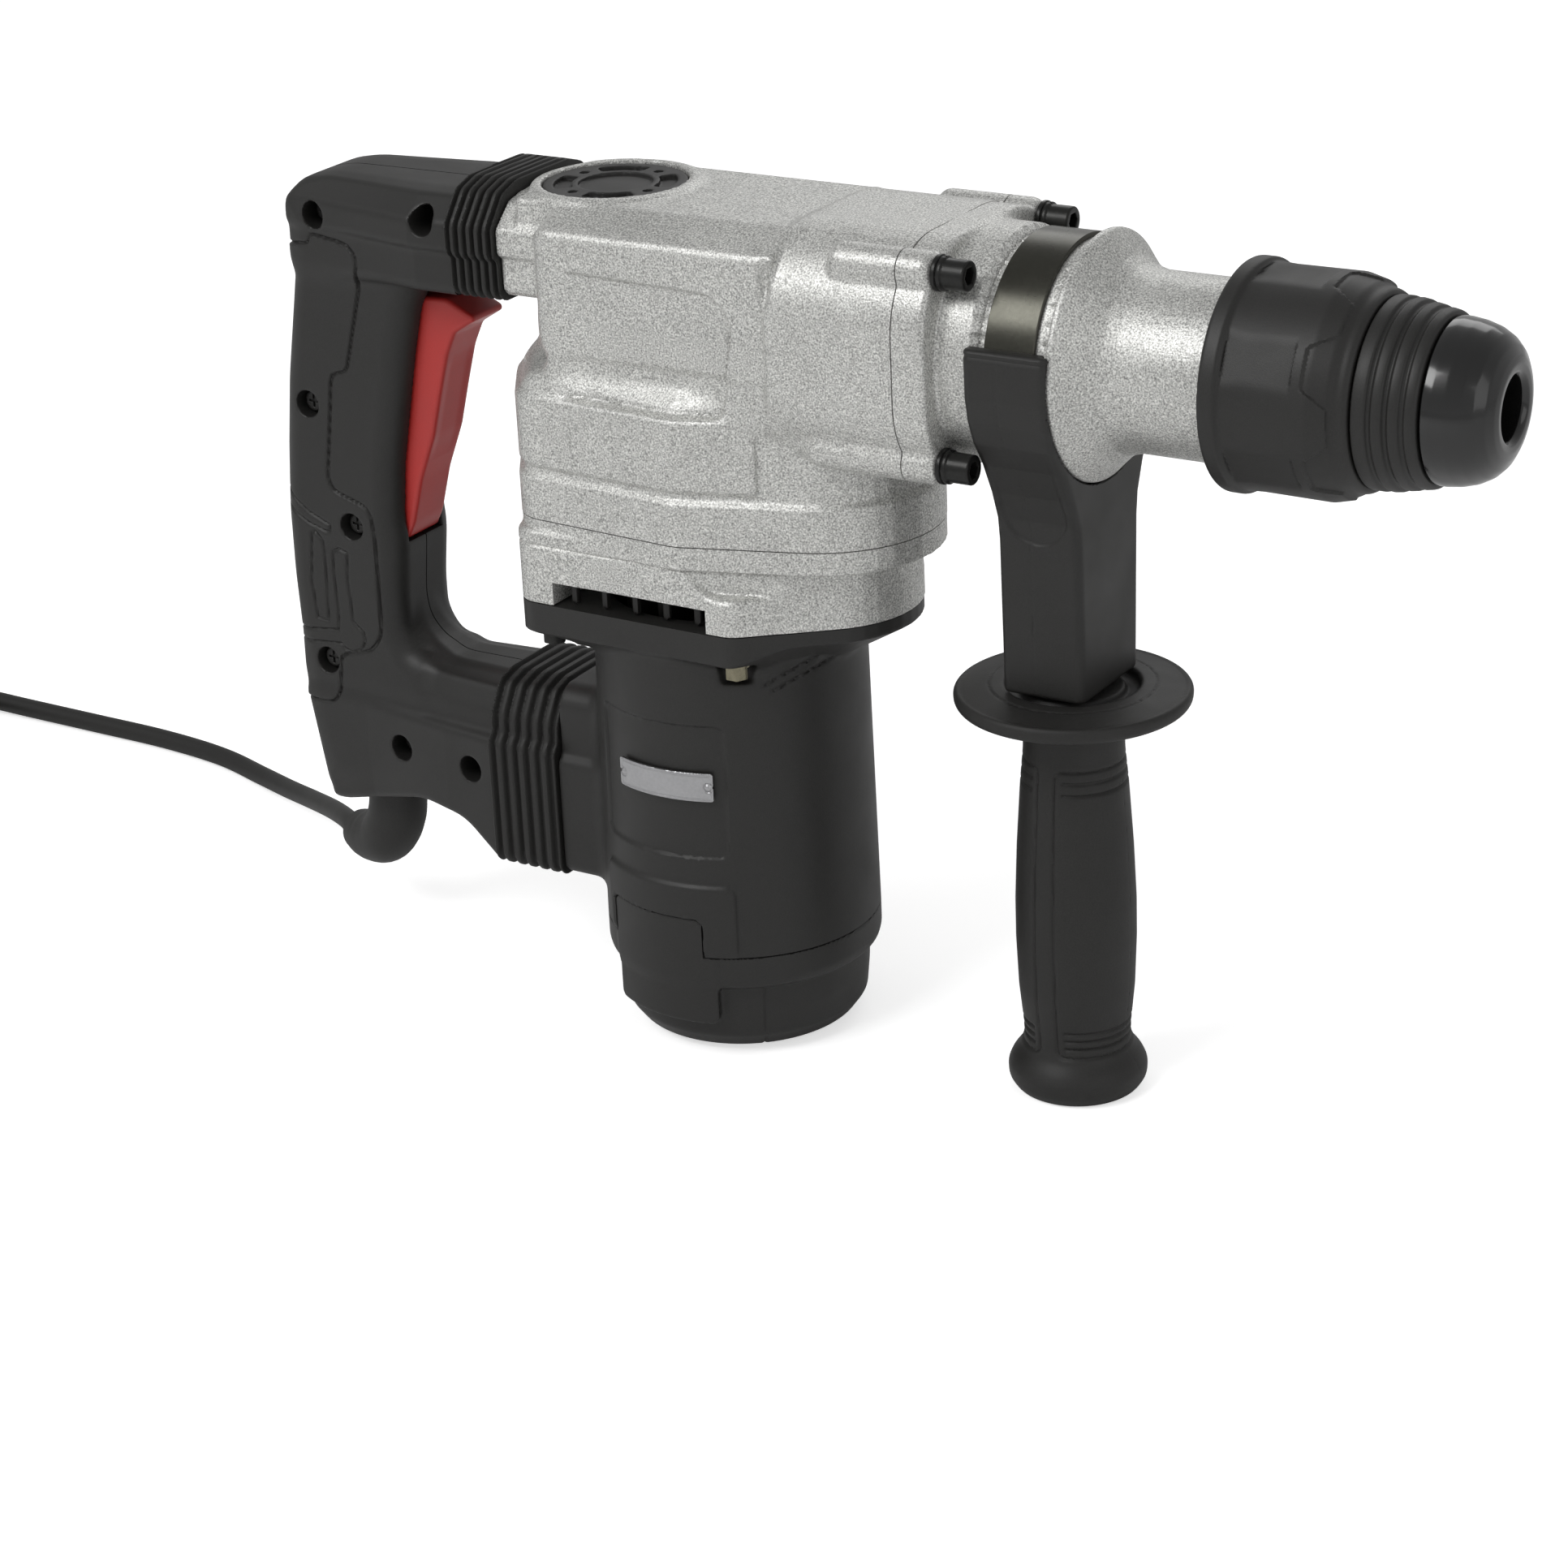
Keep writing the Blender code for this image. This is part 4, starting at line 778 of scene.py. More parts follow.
# ---- bellows ---------------------------------------------------------------
UPPER_BELLOWS = fillet(mm([
    (-10, 265.5), (26.5, 265.5), (29, 268), (29, 279.2), (31.5, 281.2), (31.5, 290.5), (23.5, 300.5),
    (15, 303.2), (-10, 303.4),
]), 0.0015)
LOWER_BELLOWS = fillet(mm([
    (-10, 51.5), (27, 51.5), (29.5, 54.5), (29.5, 98.5), (26.8, 101.2), (26.2, 108.5), (20, 118.5),
    (12, 120.8), (-10, 121),
]), 0.002)
RIBS = 6
CREST = 0.0013              # rise of the ribs above the shells beside them


def bellows_field(section, start, end):
    """Solid with a rounded section and ribs between two places along X."""
    def field(p):
        x, y, z = p
        pitch = (end - start) / RIBS
        wave = np.abs(np.mod(x - start, pitch) / pitch - 0.5) * 2.0
        depth = 0.0021 * ramp(1.0 - wave, 0.3, 0.95)
        shell = polygon(np.abs(y), z, section) - CREST + depth
        return meet(shell, slab(x, start, end), 0.0008)
    return field


def make_bellows():
    pairs = (("upper_bellows", UPPER_BELLOWS, REAR_X), ("lower_bellows", LOWER_BELLOWS, MOTOR_REAR_X))
    for name, section, end in pairs:
        low_z = min(v for _, v in section)
        high_z = max(v for _, v in section)
        start = HANDLE_X + 0.0003
        field = bellows_field(section, start, end - 0.0003)
        piece = shaped(name + "_sleeve", field, (start, -0.0333, low_z - CREST),
                       (end, 0.0333, high_z + CREST), FINE, "rubber", None, [name])
        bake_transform(piece)


# ---- rear handle -----------------------------------------------------------
TOP_OUTLINE = fillet(mm([
    (-60, 256), (-60, 310), (-88, 300), (-148, 299.5), (-161, 296.2), (-166.8, 289), (-167.2, 268),
    (-164, 256),
]), 0.004)
TOP_SECTION = fillet(mm([
    (-10, 264), (27, 264), (28.8, 267), (28.8, 279), (31.5, 281.5), (31.5, 290.5), (22.5, 298.5),
    (15, 299.8), (-10, 300),
]), 0.0018)
GRIP_OUTLINE = fillet(mm([
    (-166, 290), (-166.8, 272), (-171.2, 250), (-176.5, 222), (-180, 195), (-182.4, 170), (-183, 145),
    (-182.4, 122), (-179.5, 95), (-173.5, 62), (-120, 70), (-115, 100), (-121.4, 118.9), (-127.5, 120.5),
    (-133, 129), (-133, 141.5), (-130.8, 162), (-131.8, 172.2), (-129.6, 192.3), (-125, 214.9),
    (-120.6, 235.8), (-116, 254), (-105, 270), (-105, 290),
]), 0.004)
ARM_OUTLINE = fillet(mm([
    (-183.8, 130), (-179.5, 98), (-172.2, 56), (-166, 56), (-150, 60), (-125, 66.2), (-104, 63.6),
    (-88, 51), (-60, 30), (-60, 119), (-118, 119), (-130, 126), (-140, 140),
]), 0.006)
ARM_SECTION = fillet(mm([
    (-10, 35), (29.5, 35), (29.5, 98.5), (25.5, 101), (24.5, 108), (20, 116), (12, 118.8), (6, 140),
    (-10, 140),
]), 0.002)
POCKET = mm([
    (-150, 260.2), (-160, 205), (-162, 162), (-123, 162), (-113, 169), (-70, 169), (-70, 260.2),
    (-115, 260.2),
])
SOFT_GRIP = fillet(mm([
    (-190, 270), (-156, 274.2), (-155, 277.8), (-137, 276), (-133, 271), (-136, 262), (-146, 227),
    (-153, 226), (-156, 205), (-159, 186), (-157, 181), (-144, 177), (-141, 174), (-140, 164), (-141, 127),
    (-146, 120), (-161, 116), (-162, 101), (-165, 97), (-190, 96),
]), 0.003, 2)
# the grooves on both sides of the grip
SLASH = mm([
    (-180, 179), (-169, 171), (-160.2, 167.3), (-160, 165.2), (-161.9, 164.5), (-169.5, 166.8),
    (-180, 172.5),
])
LONG_LOOP = mm([
    (-168.9, 163.1), (-171.1, 144), (-169.9, 129.5), (-165, 129.2), (-164.6, 133.1), (-163.7, 158),
    (-164.1, 160.6), (-167.2, 164.1), (-168.9, 163.1),
])
KEYHOLE = mm([
    (-183, 123.5), (-160.7, 126.1), (-159.8, 133.8), (-160.4, 148.9), (-159.8, 157), (-157.1, 158.5),
    (-153.4, 157.4), (-154.2, 146.6), (-153.4, 130.5), (-151.5, 128.7), (-149.1, 126.9), (-148.6, 123.7),
    (-150.5, 120.1), (-154.5, 118.2), (-158.3, 118.8), (-160, 120.8), (-183, 118.8),
])
SCREWS = mm([
    (-152, 285), (-98.5, 290), (-165, 213), (-150, 168), (-167, 113), (-133, 85), (-98, 85),
])


def narrowed(a, z, section, full, wide):
    """A section whose half width is full, squeezed sideways to wide."""
    return polygon(a * (full / wide), z, section) * (wide / full)


def handle_field(p):
    """Both handle shells as one: top arm, grip and lower arm, with grooves, pocket and screw holes."""
    x, y, z = p
    a = np.abs(y)
    top_wide = follow(x, (-0.166, -0.13, -0.104), (0.0205, 0.0265, 0.0315))
    top = meet(polygon(x, z, TOP_OUTLINE), narrowed(a, z, TOP_SECTION, 0.0315, top_wide), 0.0025)
    grip_wide = follow(z, (0.055, 0.11, 0.18, 0.25, 0.29), (0.0185, 0.0186, 0.0192, 0.0194, 0.0204))
    grip = meet(polygon(x, z, GRIP_OUTLINE), a - grip_wide, 0.0095)
    arm_wide = follow(x, (-0.178, -0.15, -0.11, -0.088), (0.018, 0.02, 0.0268, 0.0295))
    arm = meet(polygon(x, z, ARM_OUTLINE), narrowed(a, z, ARM_SECTION, 0.0295, arm_wide), 0.0035)
    body = union(0.006, grip, arm)
    body = union(0.005, body, top)
    lines = either.reduce([line(x, z, points) for points in (SOFT_GRIP, KEYHOLE, SLASH, LONG_LOOP)])
    body = body + groove(lines, 0.0009, 0.0008) * ramp(a, 0.006, 0.01)
    soft = polygon(x, z, SOFT_GRIP)
    body = body - 0.0004 * ramp(-soft, 0.0, 0.0008)
    body = both(body, -both(polygon(x, z, POCKET), a - 0.0102))
    body = both(body, -both(disc(x, y, -0.1545, 0, 0.0107), z - 0.078))
    for u, v in SCREWS:
        sink = both(disc(x, z, u, v, 0.005), y + 0.0125)
        body = carve(body, sink, 0.0008)
    return body


def make_handle():
    front = ((HANDLE_X, 0, 0), (1, 0, 0))
    for name, side in (("handle_right_shell", -1), ("handle_left_shell", 1)):
        parting = ((0, side * HALF_GAP, 0), (0, -side, 0))
        low_y, high_y = sorted((-side * 0.001, side * 0.032))
        shaped(name + "_cover", handle_field, (-0.184, low_y, 0.05), (HANDLE_X + 0.002, high_y, 0.3),
               FINE, "plastic", "handle", [name], (front, parting))


# ---- trigger and name plate ------------------------------------------------
TRIGGER_OUTLINE = fillet(mm([
    (-140, 164.6), (-134.5, 163.2), (-132.2, 162.8), (-129, 169), (-124, 186.6), (-117, 203.6),
    (-112.5, 220.2), (-108.3, 234.7), (-104, 243.7), (-95.3, 249), (-95.5, 250.8), (-106.3, 256.2),
    (-119.5, 255.8), (-123.8, 240), (-129, 214.9), (-134.5, 190), (-140, 172),
]), 0.0016)


def trigger_field(p):
    """Lever with a shallow finger hollow down its front."""
    x, y, z = p
    a = np.abs(y)
    body = meet(polygon(x, z, TRIGGER_OUTLINE), a - 0.0096, 0.0016)
    front = line(x, z, [(-0.116, 0.198), (-0.1085, 0.228)])
    return body + 0.0006 * np.clip(1.0 - front / 0.007, 0.0, 1.0) * (1.0 - ramp(a, 0.004, 0.0085))


def plate_field(p):
    """Thin plate round the barrel with a sunk border line and a rivet at each end."""
    x, y, z = p
    r = np.hypot(x, y)
    face = patch(p, -112.8, -67.2, 0.101, 0.1115, 0.001)
    body = meet(face, slab(r, 0.0484, 0.0495), 0.0002)
    body = body + groove(np.abs(face + 0.0009), 0.0004, 0.0002)
    for angle in (-110.6, -69.4):
        rivet = np.hypot(motor_arc(p) - angle * math.pi / 180 * MOTOR_R, z - 0.10625)
        body = body + groove(np.abs(rivet - 0.0016), 0.0004, 0.0003)
        body = either(body, np.hypot(rivet, (r - 0.0492) * 1.6) - 0.0012)
    return body


# ---- fasteners -------------------------------------------------------------
def hexagon(u, v, across):
    """Distance to a hexagon's flats."""
    a, b = np.abs(u), np.abs(v)
    return both(a * 0.866 + b * 0.5, b) - across / 2


# washer, neck, spring washer and head: (radius, near end, far end, edge)
FRONT_BOLT_RINGS = (
    (0.006, 0.0, 0.0015, 0.0003), (0.0054, 0.0, 0.0035, 0.0003), (0.0057, 0.0019, 0.0033, 0.0003),
    (0.005, 0.003, 0.0113, 0.0006),
)


def front_bolt_field(y0, z0):
    """Socket head screw with a spring washer under its head."""
    def field(p):
        x, y, z = p
        r = np.hypot(y - y0, z - z0)
        start = BOSS_END_X + 0.0001
        body = both(r - 0.0024, slab(x, 0.079, start + 0.001))
        for radius, near, far, edge in FRONT_BOLT_RINGS:
            body = either(body, meet(r - radius, slab(x, start + near, start + far), edge))
        socket = both(hexagon(y - y0, z - z0, 0.0052), start + 0.0075 - x)
        split = both(slab(y - y0, -0.0004, 0.0004), slab(x, start + 0.0019, start + 0.0033))
        body = both(body, -both(split, z0 - z))
        return carve(body, socket, 0.0004)
    return field


def flange_bolt_field(x0, y0):
    """Hexagon head with its washer, seen from below the flange."""
    def field(p):
        x, y, z = p
        r = np.hypot(x - x0, y - y0)
        head = meet(hexagon(x - x0, y - y0, 0.0076), slab(z, 0.1474, 0.1522), 0.0004)
        head = meet(head, r - 0.0042, 0.0003)
        washer = meet(r - 0.005, slab(z, 0.152, 0.1532), 0.0002)
        body = either(head, washer)
        return either(body, both(r - 0.0022, slab(z, 0.1525, 0.1725)))
    return field


def handle_screw_field(x0, z0):
    """Pan head with a cross recess, deep in the right shell."""
    def field(p):
        x, y, z = p
        u, v = x - x0, z - z0
        r = np.hypot(u, v)
        head = meet(r - 0.0039, slab(y, -0.0156, -0.0128), 0.0008)
        recess = either(rect(u, v, -0.0024, 0.0024, -0.0005, 0.0005, 0.0002),
                        rect(u, v, -0.0005, 0.0005, -0.0024, 0.0024, 0.0002))
        head = both(head, -both(recess, y + 0.0146))
        return either(head, both(r - 0.002, slab(y, -0.013, 0.0095)))
    return field


def make_fasteners():
    step = grid(0.00032)
    spots = [(side * BOLT_Y, SPINDLE_Z + up * BOLT_DZ) for up in (1, -1) for side in (-1, 1)]
    for k, (y0, z0) in enumerate(spots):
        shaped(f"front_bolt_{k + 1}_screw", front_bolt_field(y0, z0), (0.079, y0 - 0.0061, z0 - 0.0061),
               (0.119, y0 + 0.0061, z0 + 0.0061), step, "black_steel", "root",
               [f"front_bolt_{k + 1}"], sharp=30)
    places = [(x, side * y) for x, y in FLANGE_BOLTS for side in (-1, 1)]
    for k, (x0, y0) in enumerate(places):
        # the rear pair take the dark black-oxide look as painted shade, while the front pair show bright
        # zinc
        shaped(f"flange_bolt_{k + 1}_screw", flange_bolt_field(x0, y0), (x0 - 0.005, y0 - 0.005, 0.1474),
               (x0 + 0.005, y0 + 0.005, 0.1725), step, "zinc" if x0 > 0 else "black_steel", "root",
               [f"flange_bolt_{k + 1}"], sharp=30)
    for k, (x0, z0) in enumerate(SCREWS):
        shaped(f"handle_screw_{k + 1}_cross", handle_screw_field(x0, z0),
               (x0 - 0.0039, -0.0156, z0 - 0.0039), (x0 + 0.0039, 0.0095, z0 + 0.0039), step,
               "plastic", "handle", [f"handle_screw_{k + 1}"], sharp=30)


# ---- side handle -----------------------------------------------------------
YOKE_HEIGHTS = (0.15, 0.204, 0.212, 0.222, 0.233, 0.242, 0.25, 0.258, 0.275)
YOKE_HALVES = (0.0205, 0.0218, 0.0228, 0.0266, 0.0322, 0.038, 0.0414, 0.043, 0.0434)


def saddle_field(p):
    """Yoke under the collar that narrows into a rectangular stem."""
    x, y, z = p
    u = x - GRIP_X
    a = np.abs(y)
    wide = follow(z, YOKE_HEIGHTS, YOKE_HALVES)
    body = meet(slab(u, -0.016, 0.0142), (a - wide) * 0.86, 0.0028)
    body = meet(body, slab(z, 0.1502, 0.2745), 0.0014)
    lip = groove(np.abs(z - 0.2722), 0.0012, 0.0004)
    body = body + lip * ramp(a, 0.04, 0.042)
    strap = both(slab(u, -0.0125, 0.0105), 0.216 - z)
    strap = either(strap, np.hypot(u + 0.001, z - 0.216) - 0.012)
    sunk = 0.0007 * ramp(-strap, -0.0004, 0.001) * (1.0 - ramp(z, 0.218, 0.242))
    parting = groove(np.abs(u + 0.0035), 0.0005, 0.0002)
    body = body + (sunk + parting) * ramp(a, 0.015, 0.017)
    seat = spindle_r(p) - 0.0395
    seat = either(seat, both(spindle_r(p) - 0.0416, 0.1465 - x))
    well = both(np.hypot(u, y) - 0.0045, z - 0.22)
    well = either(well, both(np.hypot(u, y) - 0.008, 0.2132 - z))
    return both(body, -either(seat, well))


GRIP_PROFILE = fillet(mm([
    (4.5, 110), (4.5, 147.8), (17.2, 148.4), (18, 146.2), (22.2, 146.2), (22.7, 149.8), (28, 149.4),
    (37.5, 147.8), (39.2, 148), (40.2, 146.6), (40, 144), (38.8, 142.4), (20, 141.6), (17.6, 140),
    (17.1, 136), (17.2, 126), (18.4, 113), (19.9, 90), (20.7, 70), (20.7, 56), (20, 38), (18.6, 24),
    (18.4, 19), (19.8, 15), (22.6, 11.5), (24.2, 8), (24, 3.8), (21.5, 0), (-10, 0), (-10, 110),
]), 0.0014, 3)
STRIP_ANGLE = -96.0


def grip_field(p):
    """Flared grip with a guard; two long panels carry two ribs near the top and three near the bottom."""
    x, y, z = p
    u = x - GRIP_X
    r = np.hypot(u, y)
    body = polygon(r, z, GRIP_PROFILE)
    body = body + groove(np.abs(r - 0.0281), 0.0006, 0.0004) * ramp(z, 0.146, 0.147)
    body = body + groove(np.abs(r - 0.0378), 0.0005, 0.0002) * ramp(z, 0.146, 0.147)
    turn = np.mod(np.degrees(np.arctan2(y, u)) - STRIP_ANGLE, 180.0) - 90.0
    arc = turn * (math.pi / 180 * 0.019)
    panel = rect(arc, z, -0.0262, 0.0262, 0.0172, 0.1232, 0.003)
    inside = ramp(-panel, 0.0022, 0.003)
    cuts = groove(np.abs(panel), 0.0009, 0.0006)
    ribs = either.reduce([np.abs(z - level) for level in (0.1192, 0.115, 0.0263, 0.0233, 0.0203)])
    cuts = np.maximum(cuts, groove(ribs, 0.001, 0.0007) * inside)
    seam = groove(np.abs(y), 0.0004, 0.00015)
    return body + np.maximum(cuts, seam) * ramp(0.14 - z, 0.0, 0.002)


def make_side_handle():
    low, high = COLLAR_R + 0.00015, COLLAR_R + 0.0017
    band = [
        (low, 0.1245), (high - 0.0003, 0.1245), (high, 0.1248), (high, 0.1419), (high - 0.0003, 0.1422),
        (low, 0.1422),
    ]
    lathe("clamp_band_strap", band, along_x(), "band", "clamp", ["clamp_band"], 160)
    shaped("clamp_saddle_yoke", saddle_field, (GRIP_X - 0.016, -0.0434, 0.15),
           (GRIP_X + 0.0142, 0.0434, 0.275), grid(0.0007), "plastic", "clamp", ["clamp_saddle"])
    bottom = ((0, 0, 0), (0, 0, -1))
    shaped("side_grip_body", grip_field, (GRIP_X - 0.0403, -0.0403, 0.0), (GRIP_X + 0.0403, 0.0403, 0.15),
           grid(0.00062), "rubber", "grip", ["side_grip"], (bottom,))


# ---- tool socket -----------------------------------------------------------
SLEEVE_PROFILE = fillet(mm([
    (197.6, 30.5), (197.6, 36.6), (198.6, 37.3), (203.2, 37.3), (204.2, 36), (210, 35.7), (233, 35.9),
    (239.5, 34.3), (245, 31), (245, 25.6), (208, 25.6), (208, 30.5),
]), 0.0006)
LOBE_ANGLE = 25.0


def sleeve_field(p):
    """Sleeve with six finger flats and a raised rear half with a lobed front edge."""
    x, y, z = p
    r = spindle_r(p)
    turn = np.degrees(np.arctan2(z - SPINDLE_Z, -y)) - LOBE_ANGLE
    body = polygon(x, r, SLEEVE_PROFILE)
    lobe = np.clip(np.cos(np.radians(turn * 6.0)) * 2.2, -1.0, 1.0)
    edge = 0.2354 - 0.0041 * lobe
    raised = ramp(edge - x, -0.0003, 0.0003) * ramp(x, 0.204, 0.2046)
    body = body + 0.0008 * (1.0 - raised) * ramp(x, 0.2044, 0.205) * ramp(0.244 - x, 0.0, 0.003)
    sector = np.radians(np.mod(turn + 30.0, 60.0) - 30.0)
    zone = both(slab(x, 0.2046, 0.2276), 0.0349 - r * np.cos(sector))
    return carve(body, zone, 0.0004)


RING_PROFILE = mm([
    (18, 260), (18, 245.6), (30.3, 245.6), (30.3, 250), (29.2, 250.6), (29.2, 251.6), (30.1, 252.2),
    (29.7, 255), (28.4, 255.6), (28.3, 256.6), (29.1, 257.2), (28.6, 260), (27.5, 260.6), (27.4, 261.6),
    (28.1, 262.2), (27.6, 264.8), (26.8, 265.6), (22, 265.6),
])
DOME_PROFILE = mm([
    (9.8, 257), (17.2, 257), (17.2, 261), (21.5, 266.2), (26.2, 266.2), (26.2, 269), (25.6, 273.5),
    (24.3, 278), (22.2, 281.8), (19.5, 284.5), (16.2, 286.2), (13.8, 286.8), (11.4, 286.6), (10, 285.2),
    (9.8, 282),
])


def make_socket():
    shaped("lock_sleeve_grip", sleeve_field, (0.1976, -0.0374, SPINDLE_Z - 0.0374),
           (0.245, 0.0374, SPINDLE_Z + 0.0374), grid(0.00065), "plastic", "sleeve", ["lock_sleeve"])
    lathe("dust_cap_ring", soft_profile(RING_PROFILE, 0.0005, 2), along_x(), "plastic", "spindle",
          ["dust_cap"], 160, 60)
    lathe("dust_cap_dome", soft_profile(DOME_PROFILE, 0.0006, 3), along_x(), "dust", "spindle", (), 160, 60)


# ---- selector knob ---------------------------------------------------------
def knob_field(p):
    """Dial with a finger bar and a pointer notch."""
    x, y, z = p
    u, v = x - KNOB_X, z - KNOB_Z
    r = np.hypot(u, v)
    body = meet(r - 0.015, slab(y, 0.0508, 0.0563), 0.001)
    teeth = np.abs(np.sin(np.arctan2(v, u) * 12.0)) * 0.015 / 12.0
    body = body + groove(teeth, 0.0007, 0.0005) * ramp(r, 0.0135, 0.0145)
    bar = meet(rect(u, v, -0.0122, 0.0122, -0.0036, 0.0036, 0.0016), slab(y, 0.053, 0.0608), 0.001)
    body = blend_min(body, bar, 0.001)
    notch = both(np.hypot(u - 0.0095, v) - 0.0012, 0.0602 - y)
    return carve(body, notch, 0.0003)


def make_small_parts():
    shaped("trigger_lever", trigger_field, (-0.14, -0.0096, 0.1625), (-0.095, 0.0096, 0.2565),
           FINE, "red", "trigger", ["trigger"])
    shaped("name_plate_blank", plate_field, (-0.02, -0.05, 0.1008), (0.02, -0.044, 0.1117),
           grid(0.00028), "plate", "root", ["name_plate"])
    shaped("selector_knob_dial", knob_field, (0.015, 0.0508, 0.205), (0.045, 0.0608, 0.235),
           grid(0.0004), "plastic", "selector", ["selector_knob"])


# ---- cord ------------------------------------------------------------------
def smooth_path(points, pieces):
    """Points on a Catmull-Rom curve through the given ones."""
    points = [Vector(p) for p in points]
    ends = [2 * points[0] - points[1]] + points + [2 * points[-1] - points[-2]]
    path = []
    for a, b, c, d in zip(ends, ends[1:], ends[2:], ends[3:]):
        for k in range(pieces):
            t = k / pieces
            path.append(0.5 * ((2 * b) + (c - a) * t + (2 * a - 5 * b + 4 * c - d) * t * t
                               + (3 * b - a - 3 * c + d) * t ** 3))
    return path + [points[-1]]


def path_length(path):
    return sum((b - a).length for a, b in zip(path, path[1:]))


BOOT_ROUTE = mm([
    (-154, 0, 75.5), (-154.5, 0, 60), (-156, 0, 46), (-162, 1, 35.5), (-172, 5, 31), (-182, 9.5, 29.5),
])
CORD_LEAD = mm([
    (-182.6, 9.8, 29.4), (-188, 12.4, 28.6), (-199, 21.5, 26.2), (-218, 36.5, 20.5), (-241.5, 52.5, 14),
    (-265.5, 67.5, 8), (-290, 80, 4.5), (-320, 90, 4), (-355, 94.5, 4), (-395, 95.5, 4), (-435, 95.5, 4.4),
])
PLUG_X = COIL_X + 0.0345
PLUG_Y = COIL_Y - 0.0561
PLUG_Z = 0.0095
BLADE_Y = 0.0064            # blades, each side of the plug's middle
LAYER_Z = (0.0052, 0.0136)
TURN_PITCH = 0.0084


def coil_points(radius):
    """Three turns inward on the surface, then two and a half outward on top of them."""
    rings = [radius, radius - TURN_PITCH, radius - 2 * TURN_PITCH]
    levels = [(r, LAYER_Z[0]) for r in rings] + [(r, LAYER_Z[1]) for r in rings[::-1]]
    points = []
    for k in range(int(5.5 * 60) + 1):
        turns = k / 60
        lap = int(turns)
        t = max(0.0, (turns - lap - 0.84) / 0.16)
        t = t * t * (3 - 2 * t)
        here, after = levels[lap], levels[min(lap + 1, 5)]
        r = here[0] + (after[0] - here[0]) * t
        z = here[1] + (after[1] - here[1]) * t
        angle = math.pi / 2 + 2 * math.pi * turns
        points.append((COIL_X + r * math.cos(angle), COIL_Y + r * math.sin(angle), z))
    return points


def cord_path(radius):
    """The whole cord, from its exit over the coil to the plug."""
    lead = CORD_LEAD + [(COIL_X + 0.03, COIL_Y + radius, LAYER_Z[0])]
    tail = [(PLUG_X - 0.013, PLUG_Y, 0.0108), (PLUG_X + 0.0005, PLUG_Y, PLUG_Z)]
    return smooth_path(lead, 8)[:-1] + smooth_path([lead[-1]] + coil_points(radius) + tail, 1)


def sweep(name, path, radii, look, body, nodes, steps=32):
    """Round body along a path, one radius for each point."""
    bm = bmesh.new()
    rings = []
    side = Vector((0, 1, 0))
    for k, (point, radius) in enumerate(zip(path, radii)):
        along = (path[min(k + 1, len(path) - 1)] - path[max(k - 1, 0)]).normalized()
        side = (side - along * side.dot(along)).normalized()
        up = along.cross(side)
        spots = [point + radius * (math.cos(a) * side + math.sin(a) * up) for a in angles_round(steps)]
        rings.append([bm.verts.new(spot) for spot in spots])
    for lower, upper in zip(rings, rings[1:]):
        for k in range(steps):
            bm.faces.new((lower[k], lower[(k + 1) % steps], upper[(k + 1) % steps], upper[k]))
    bm.faces.new(rings[0])
    bm.faces.new(rings[-1])
    return finish_piece(name, mesh_from(bm, name), look, body, nodes, sharp=40)


def plug_field(p):
    """Moulded plug with ribbed shoulders; its two blades point along +X."""
    x, y, z = p
    u, v, w = x - PLUG_X, y - PLUG_Y, z - PLUG_Z
    places = (0.0, 0.014, 0.018, 0.04, 0.043)
    half = follow(u, places, (0.005, 0.0075, 0.0125, 0.013, 0.0118))
    tall = follow(u, places, (0.0045, 0.006, 0.0088, 0.0092, 0.008))
    body = meet(np.abs(v) - half, np.abs(w) - tall, 0.004)
    body = meet(body, slab(u, 0.0, 0.043), 0.0012)
    rings = np.abs(np.mod(u, 0.003) - 0.0015)
    body = body + groove(rings, 0.0007, 0.0007) * ramp(0.013 - u, 0.0, 0.001) * ramp(u, 0.001, 0.002)
    grips = np.abs(np.mod(u - 0.0215, 0.003) - 0.0015)
    side_grips = groove(grips, 0.0008, 0.0006) * ramp(np.abs(v), 0.0085, 0.01)
    return body + side_grips * ramp(u, 0.0205, 0.0215) * ramp(0.0375 - u, 0.0, 0.001)


def blade_field(centre):
    """Flat blade of the plug, centre being its Y."""
    def field(p):
        x, y, z = p
        body = rect(x, z, PLUG_X + 0.0385, PLUG_X + 0.06, 0.0065, 0.0128, 0.0015)
        return meet(body, slab(y, centre - 0.00075, centre + 0.00075), 0.0002)
    return field


def tie_field(p):
    """Strap with rounded ends round the coil's turns."""
    x, y, z = p
    out = COIL_X - x
    high = LAYER_Z[1] + CORD_R
    outer = rect(out, z, 0.033, 0.0604, 0.0001, high + 0.0012, 0.0022)
    inner = rect(out, z, 0.0342, 0.0592, 0.0011, high + 0.0002, 0.0014)
    return meet(both(outer, -inner), slab(y, COIL_Y - 0.006, COIL_Y + 0.006), 0.0003)


def coil_radius():
    """Radius of the outer turn that gives the cord its length."""
    low, high = 0.054, 0.059
    for _ in range(40):
        middle = (low + high) / 2
        if path_length(cord_path(middle)) < CORD_LENGTH:
            low = middle
        else:
            high = middle
    return low


def make_boot():
    route = smooth_path(BOOT_ROUTE, 10)
    share = np.linspace(0.0, 1.0, len(route))
    radii = np.interp(share, (0, 0.4, 0.5, 0.6, 0.7, 0.8, 0.9, 1.0),
                      (0.0105, 0.0112, 0.0112, 0.011, 0.0107, 0.0102, 0.0094, 0.0082))
    sweep("cord_boot_sleeve", route, [float(r) for r in radii], "rubber", "handle", ["cord_boot"])


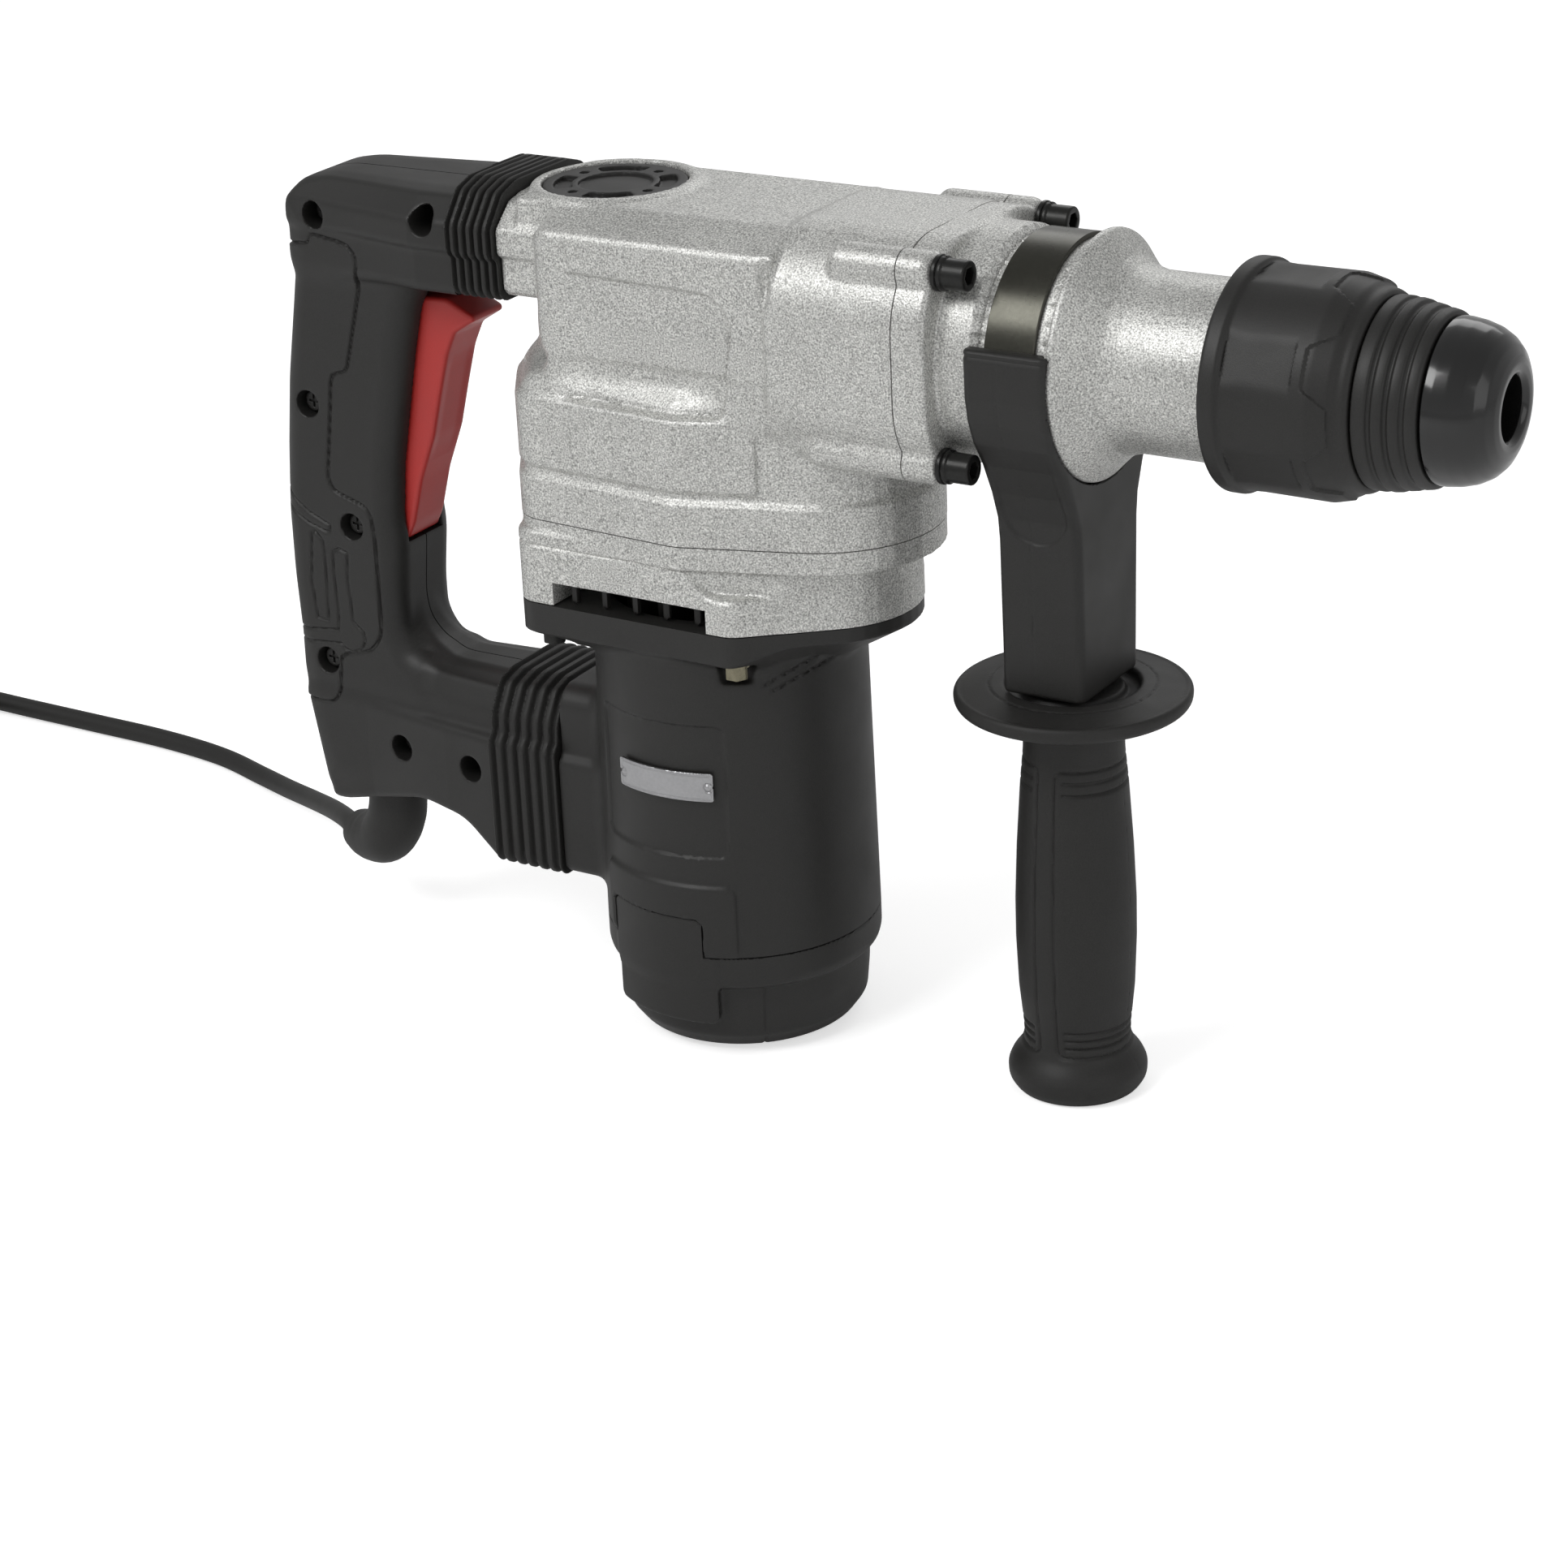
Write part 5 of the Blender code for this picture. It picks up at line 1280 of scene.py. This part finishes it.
def make_line():
    """The cord itself, a round line from the boot through the coil to the plug."""
    path = cord_path(coil_radius())
    curve = bpy.data.curves.new("power_cord_line", "CURVE")
    curve.dimensions = "3D"
    curve.bevel_depth = CORD_R
    curve.bevel_resolution = 6
    curve.use_fill_caps = True
    spline = curve.splines.new("POLY")
    spline.points.add(len(path) - 1)
    for item, point in zip(spline.points, path):
        item.co = (*point, 1.0)
    curve.materials.append(LOOKS["rubber"])
    cord = bpy.data.objects.new("power_cord_line", curve)
    bpy.context.scene.collection.objects.link(cord)
    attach(cord, "handle")
    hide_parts("power_cord", "cord_coil")
    return cord


def make_plug():
    """Plug, its two blades and the coil's tie: the pieces that stay with the cord."""
    pieces = [shaped("cord_plug_body", plug_field, (PLUG_X, PLUG_Y - 0.013, 0.0001),
                     (PLUG_X + 0.043, PLUG_Y + 0.013, 0.019), grid(0.0005),
                     "rubber", "handle", ["cord_plug"])]
    for number, side in ((1, -1), (2, 1)):
        centre = PLUG_Y + side * BLADE_Y
        pieces.append(shaped(f"plug_blade_{number}", blade_field(centre),
                             (PLUG_X + 0.0385, centre - 0.0008, 0.0065),
                             (PLUG_X + 0.06, centre + 0.0008, 0.0128), 0.0004, "steel", "handle"))
    pieces.append(shaped("cord_tie", tie_field, (COIL_X - 0.0605, COIL_Y - 0.006, 0.0001),
                         (COIL_X - 0.033, COIL_Y + 0.006, 0.019), 0.0005, "rubber", "handle"))
    return pieces


def make_cord():
    make_boot()
    cord = make_line()
    extras = make_plug()


def dress_inner_parts():
    """The drive inside keeps its CAD shapes and takes metal looks."""
    groups = {
        "steel": [
            "armature_shaft", "motor_bearing_lower", "motor_bearing_upper", "crankshaft", "crank_gear",
            "intermediate_gear", "bevel_pinion", "bevel_gear", "hammer_tube", "spindle_bearing", "piston",
            "con_rod", "ram", "impact_bolt", "tool_holder", "sleeve_spring",
        ],
        "copper": ["armature_core"],
        "laminations": ["stator"],
        "plastic": ["cooling_fan", "carbon_brush_1", "carbon_brush_2", "switch_block"],
        "black_steel": ["clamp_bolt"],
    }
    for look, names in groups.items():
        for name in names:
            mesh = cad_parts[name].data
            mesh.materials.clear()
            mesh.materials.append(LOOKS[look])


def main():
    LOOKS.update(make_materials())
    make_cord()
    make_castings()
    make_motor()
    make_bellows()
    make_handle()
    make_small_parts()
    make_fasteners()
    make_side_handle()
    make_socket()
    dress_inner_parts()


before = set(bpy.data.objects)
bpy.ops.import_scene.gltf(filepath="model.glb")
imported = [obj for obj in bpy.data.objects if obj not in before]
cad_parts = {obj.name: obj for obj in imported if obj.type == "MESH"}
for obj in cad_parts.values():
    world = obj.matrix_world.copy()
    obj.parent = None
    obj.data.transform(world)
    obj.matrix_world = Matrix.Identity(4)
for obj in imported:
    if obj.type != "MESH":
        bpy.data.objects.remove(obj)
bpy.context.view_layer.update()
make_camera()
make_stage()
main()
